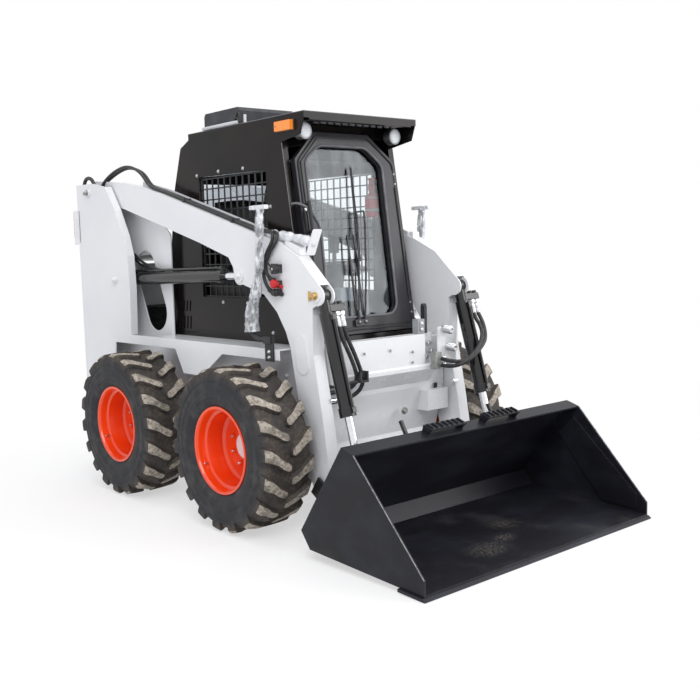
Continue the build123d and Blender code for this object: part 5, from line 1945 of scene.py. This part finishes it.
        # A thin dark disc paints the shade inside the end plate's hole.
        hole = Form()
        hole.turned(
            facing(spot(-486, -319, 1480) + Vector((0, -0.9, -0.44)) * 5.2 * MM, (0, -0.9, -0.44)),
            [(0, 6), (0.4, 6)], 18
        )
        hole.piece("arm_stay_hole_painted_shade", (DARK_TRIM_AND_PAINTED_SHADE,), "lift_arms")
        roll = Form()
        shape = random.Random("stay film")
        corners = (
            (10, 1474), (-40, 1471), (-90, 1467), (-150, 1456), (-205, 1450), (-262, 1440),
            (-312, 1426), (-346, 1414)
        )
        line = smooth_line([spot(-486, rearwards, up) for rearwards, up in corners], 8)
        count = len(line)
        radii = []
        for index in range(count):
            t = index / (count - 1)
            lump = 3.5 * math.sin(t * 19) + 2.5 * math.sin(t * 41 + 1) + shape.uniform(-1.2, 1.2)
            radii.append((26 + lump) * min(1.0, 0.45 + 9 * t, 0.55 + 7 * (1 - t)))
        roll.sleeve(line, radii, 7.0, "stay film folds", 30)
        roll.piece("arm_stay_film", (ROLL_FILM,), "lift_arms", sharp=75.0)

    def build_ports(self) -> None:
        """Build the tilt cylinders' port blocks with their crimped hose ends, and their hoses."""
        down = tilt_frame(1).to_3x3() @ Vector((0, 0, 1))
        for name, side in SIDES:
            frame_ = tilt_frame(side)
            body = f"tilt_barrel_{name}"
            row = self.port_row[0 if side < 0 else 1]
            block = Form()
            base = frame_ @ Matrix.Translation((0, 0, 50 * MM))
            block.prism(base, [(8, -6), (row[1] + 17, -6), (row[1] + 17, 27), (8, 27)], 34.0)
            for across in row:
                head = frame_ @ Matrix.Translation(
                    (across * MM, 10 * MM, 46 * MM)
                ) @ Matrix.Rotation(math.pi, 4, "X")
                block.turned(head, [(-6, 15), (8, 15), (12, 11)], 24)
            block.piece(f"tilt_port_{name}", (CYLINDER_BLACK,), body, "cylinder_black", bevel=1.4)
            ends, hoses = Form(), Form()
            for across, route in zip(row, TILT_ROUTES[side]):
                port = frame_ @ Vector((across * MM, 10 * MM, 84 * MM))
                ends.fitting(port, down, 74, self.tilt_hose_radius)
                first = frame_ @ Vector((across * MM, 10 * MM, 140 * MM))
                second = frame_ @ Vector((across * MM, 10 * MM, 168 * MM))
                line = smooth_line([first, second] + [spot(*point) for point in route], 8)
                hoses.pipe(line, self.tilt_hose_radius, 16)
            ends.piece(f"tilt_hose_ends_{name}", (BRIGHT,), body)
            foot = spot(-330, -448, 790) if side < 0 else spot(330, -570, 780)
            hoses.piece(
                f"tilt_hoses_{name}", (HOSE,), body,
                bends=("lift_arms", frame_ @ Vector((side * 0.075, 0.01, 0.17)), foot)
            )

    def build_front_couplers(self) -> None:
        """Build the left arm plate's knurled couplers, the block under them and the right clamp."""
        form = Form()
        for x, up in ((345, 948), (372, 852)):
            base = facing(spot(x, -412.3, up), (-0.12, -1, -0.06))
            form.lathe(base, [(0, 0), (0, 20), (12, 20), (14, 16), (16, 16)], 24)
            rings = [(14, 0.0), (14, 17)]
            for number in range(6):
                start = 16 + number * 7
                rings += [(start, 21), (start + 4, 22), (start + 5.5, 19)]
            rings += [(62, 20), (66, 15), (66, 9), (60, 8), (60, 0)]
            form.lathe(base, rings, 28)
        form.box((240, -452, 742), (284, -414, 832), 1)
        form.box((262, -414.5, 776), (312, -412.3, 826), 1)
        for up in (798, 762):
            form.fitting(spot(283, -434, up), (1, -0.22, 0.02), 40, 10.0)
        form.piece("front_couplers", (BRIGHT, DULL_STEEL), "lift_arms", bevel=1.0)
        clamp = Form()
        clamp.box((-318, -466, 742), (-306, -424, 790))
        clamp.box((-318, -466, 736), (-262, -424, 746))
        clamp.box((-272, -466, 736), (-262, -424, 790))
        clamp.pipe([spot(-318, -445, 741), spot(-449, -365, 720)], 9, 12)
        clamp.piece("right_hose_clamp", (PLASTIC,), "lift_arms", bevel=1.0)
        pins = Form()
        for _, side in SIDES:
            pins.turned(
                facing(spot(side * 461, -400, 659), (-side, 0, 0)), [(0, 11), (34, 11), (37, 8)], 24
            )
        pins.piece("leg_pins", (CHROME,), "lift_arms")

    def build_lift_hoses(self) -> None:
        """Build the two hoses that feed each lift cylinder."""
        for name, side in SIDES:
            form = Form()
            for drop in (0, 26):
                form.hose(
                    [
                        (side * 432, 1520, 1420 - drop), (side * 446, 1440, 1392 - drop),
                        (side * 468, 1330, 1352 - drop), (side * 478, 1210, 1318 - drop * 0.8),
                        (side * 484, 1110, 1300 - drop * 0.6), (side * 484, 1040, 1296 - drop * 0.6)
                    ], 8.5
                )
            form.piece(
                f"lift_hoses_{name}", (HOSE,), "machine",
                bends=(
                    f"lift_barrel_{name}", spot(side * 440, 1480, 1400),
                    spot(side * 484, 1130, 1302)
                )
            )

    def build(self) -> None:
        """Build and dress the arms."""
        self.paint()
        self.build_pins()
        self.build_arm_hoses()
        self.build_knee_couplers()
        self.build_stay()
        self.build_ports()
        self.build_front_couplers()
        self.build_lift_hoses()


@dataclass
class MirrorStalk:
    """One mirror stalk on the side plate, still wrapped in its film."""

    name: str
    side: int
    line: Sequence[tuple[float, float]] = (
        (-62, 1600), (-42, 1590), (-41, 1500), (-38, 1400), (-26, 1290), (2, 1190), (38, 1120),
        (50, 1050), (46, 985),
    )

    def build(self) -> None:
        """Build the bar, its foot and head, and the loose film round it."""
        x = self.side * (PLATE_HALF + 3)
        bar = Form()
        bar.hose(
            [
                (x, -41, 1596), (x, -38, 1400), (x, -24, 1280), (x, 30, 1130), (x, 60, 1020),
                (x, 40, 965), (x, -10, 948), (x, -70, 950)
            ], 13
        )
        bar.box((x - 16, -118, 932), (x + 16, -58, 968))
        bar.box(
            (self.side * (PLATE_HALF + 0.5), -128, 842), (self.side * (PLATE_HALF + 10), -62, 968)
        )
        for up in (862, 890):
            bar.bolt(spot(self.side * (PLATE_HALF + 10), -95, up), (self.side, 0, 0), 12.0, 1)
        bar.piece(f"mirror_stalk_{self.name}", (PLASTIC, BRIGHT), "machine", bevel=1.0)
        head = Form()
        head.box((x - 14, -106, 1596), (x + 14, 23, 1618))
        head.piece(f"mirror_head_{self.name}", (ROLL_FILM,), "machine", bevel=4.0)
        film = Form()
        shape = random.Random(f"stalk film {self.name}")
        line = smooth_line([spot(x, rearwards, up) for rearwards, up in self.line], 9)
        radii = []
        for index in range(len(line)):
            t = index / (len(line) - 1)
            wide = 25 + 19 * max(0.0, (t - 0.50) / 0.5) ** 0.8 + 2.2 * math.sin(t * 33)
            wide += shape.uniform(-1.5, 1.5)
            radii.append(wide * min(1.0, 0.7 + 5 * t))
        film.sleeve(line, radii, 11.0, f"stalk folds {self.name}", 34)
        film.piece(f"mirror_film_{self.name}", (FILM,), "machine", sharp=75.0)


@dataclass
class Bucket:
    """The bucket, its cutting edge and the quick-attach carrier."""

    floor_up: float = 26.5

    def paint(self) -> None:
        """Paint the CAD nodes of the bucket and its carrier."""
        repaint(BUCKET, "bucket")
        repaint(BUCKET_EDGE_PAINTED_LIGHT, "cutting_edge")
        repaint(TOOL_BLACK, "quick_attach")

    def build_welds(self) -> None:
        """Build the weld bead behind the cutting edge."""
        form = Form()
        shape = random.Random("bucket weld")
        count = 220
        rings = []
        for index in range(count + 1):
            x = -BUCKET_HALF + 22 + (2 * BUCKET_HALF - 44) * index / count
            swell = 4.2 + 0.9 * math.sin(index * 1.9) + shape.uniform(-0.5, 0.5)
            rings.append(
                form.ring(
                    spot(
                        x, EDGE_TIP + 150 + math.cos(angle) * swell * 1.2,
                        self.floor_up + math.sin(angle) * swell * 0.75
                    )
                    for angle in (
                        0, math.pi / 3, math.tau / 3, math.pi, 4 * math.pi / 3, 5 * math.pi / 3
                    )
                )
            )
        form.skin(rings)
        form.piece("edge_weld", (WELD,), "bucket_carrier")

    def build_bolts(self) -> None:
        """Build the flush plow bolts along the cutting edge."""
        form = Form()
        for number in range(8):
            x = -700 + number * 200
            form.turned(
                facing(spot(x, EDGE_TIP + 96, self.floor_up - 1), Along.UP),
                [(0, 11), (2.0, 11), (2.6, 9)], 24
            )
        form.piece("edge_bolts", (WORN_EDGE,), "bucket_carrier")

    def build_edges(self) -> None:
        """Build the bright worn lines along the side plates' front edges."""
        form = Form()
        for _, side in SIDES:
            x = side * (BUCKET_HALF - 1.5)
            form.pipe(
                [spot(x, rearwards, up) for rearwards, up in ((-1325, 86), (-932, 527))], 2.4, 8
            )
        form.piece("bucket_edge_wear", (WORN_EDGE,), "bucket_carrier")

    def build(self) -> None:
        """Build and dress the bucket."""
        self.paint()
        self.build_welds()
        self.build_bolts()
        self.build_edges()


# Studio


@dataclass
class Studio:
    """Floor, light and camera."""

    azimuth: float = -38.4826
    elevation: float = 6.3554
    roll: float = -1.8629
    place: Point = (-3.431, -4.0903, 1.3985)
    lens: float = 48.283
    shift: tuple[float, float] = (0.09487, 0.00515)
    floor_half: float = 60.0
    white_from: float = 1.2
    white_at: float = 3.0
    white_near: float = 0.55
    lamps: Sequence[tuple[str, Point, Point, float, float]] = (
        ("key", (-4.5, -5.0, 6.5), (0.0, -0.2, 0.8), 5.0, 345.0),
        ("fill", (4.5, -6.0, 4.0), (0.0, 0.0, 0.9), 5.0, 250.0),
        ("top", (0.0, 0.5, 7.5), (0.0, 0.0, 0.9), 6.0, 160.0),
    )

    def build_camera(self) -> None:
        """Set the camera where the photograph was taken from."""
        a, e, r = (math.radians(angle) for angle in (self.azimuth, self.elevation, self.roll))
        back = Vector((math.sin(a) * math.cos(e), -math.cos(a) * math.cos(e), math.sin(e)))
        right = Vector((math.cos(a), math.sin(a), 0.0))
        up = back.cross(right)
        level_right = right * math.cos(r) + up * math.sin(r)
        level_up = up * math.cos(r) - right * math.sin(r)
        camera = bpy.data.cameras.new("camera")
        camera.lens = self.lens
        camera.sensor_width = 36.0
        camera.shift_x, camera.shift_y = self.shift
        eye = bpy.data.objects.new("camera", camera)
        turn = Matrix((level_right, level_up, back)).transposed().to_4x4()
        turn.translation = self.place
        eye.matrix_world = turn
        bpy.context.scene.collection.objects.link(eye)
        bpy.context.scene.camera = eye

    def build_floor(self) -> None:
        """Lay a pale floor that keeps the machine's shadow and turns plain white away from it."""
        form = Form()
        corners = ((-1, -1), (1, -1), (1, 1), (-1, 1))
        form.cap(form.ring(Vector((x, y, 0)) * self.floor_half for x, y in corners))
        data = bpy.data.meshes.new("floor")
        form.mesh.to_mesh(data)
        form.mesh.free()
        graph = Graph("pale_floor")
        place = graph.place()
        x, y, _ = graph.axes(place)
        tone = graph.noise(place, 1.5, 3.0)
        lit = graph.principled(
            base_color=graph.mixed(tone, (0.94, 0.94, 0.945), (0.95, 0.95, 0.95)), roughness=0.9
        )
        white = graph.node(
            "ShaderNodeEmission", None, {"Color": (1.0, 1.0, 1.0, 1.0), "Strength": 1.0}
        )
        away = (x * x + y * y) ** 0.5
        rise = away.step(self.white_from, self.white_at) * (1 - self.white_near)
        share = (rise + self.white_near) * graph.seen()
        data.materials.append(
            graph.finish(graph.node("ShaderNodeMixShader", None, {0: share, 1: lit, 2: white}))
        )
        floor = bpy.data.objects.new("floor", data)
        bpy.context.scene.collection.objects.link(floor)

    def build_light(self) -> None:
        """Light the machine softly from the sky and from large panels."""
        sky = Graph("sky", sky=True)
        soft = sky.node(
            "ShaderNodeBackground", None, {"Color": (0.93, 0.95, 1.0, 1.0), "Strength": 0.62}
        )
        white = sky.node(
            "ShaderNodeBackground", None, {"Color": (1.0, 1.0, 1.0, 1.0), "Strength": 1.0}
        )
        bpy.context.scene.world = sky.finish(
            sky.node("ShaderNodeMixShader", None, {0: sky.seen(), 1: soft, 2: white})
        )
        for name, place, aim, size, power in self.lamps:
            light = bpy.data.lights.new(name, "AREA")
            light.size = size
            light.energy = power
            lamp = bpy.data.objects.new(name, light)
            lamp.location = place
            lamp.rotation_euler = (Vector(aim) - Vector(place)).to_track_quat("-Z", "Y").to_euler()
            bpy.context.scene.collection.objects.link(lamp)

    def build(self) -> None:
        """Set up the whole studio."""
        bpy.context.scene.view_settings.view_transform = "Standard"
        self.build_camera()
        self.build_floor()
        self.build_light()


def main() -> None:
    """Build every sub-assembly in order."""
    logging.basicConfig(level=logging.INFO, format="%(message)s")
    Studio().build()
    for name, side, axle, turn in (
        ("front_right", -1, 0.0, 0.0), ("front_left", 1, 0.0, 0.3),
        ("rear_right", -1, WHEELBASE, 0.15), ("rear_left", 1, WHEELBASE, 0.45),
    ):
        Wheel(name, side, axle, turn).build()
    Chassis().build()
    Cab().build()
    LiftArms().build()
    for name, side in SIDES:
        MirrorStalk(name, side).build()
    Bucket().build()


if __name__ == "__main__":
    main()
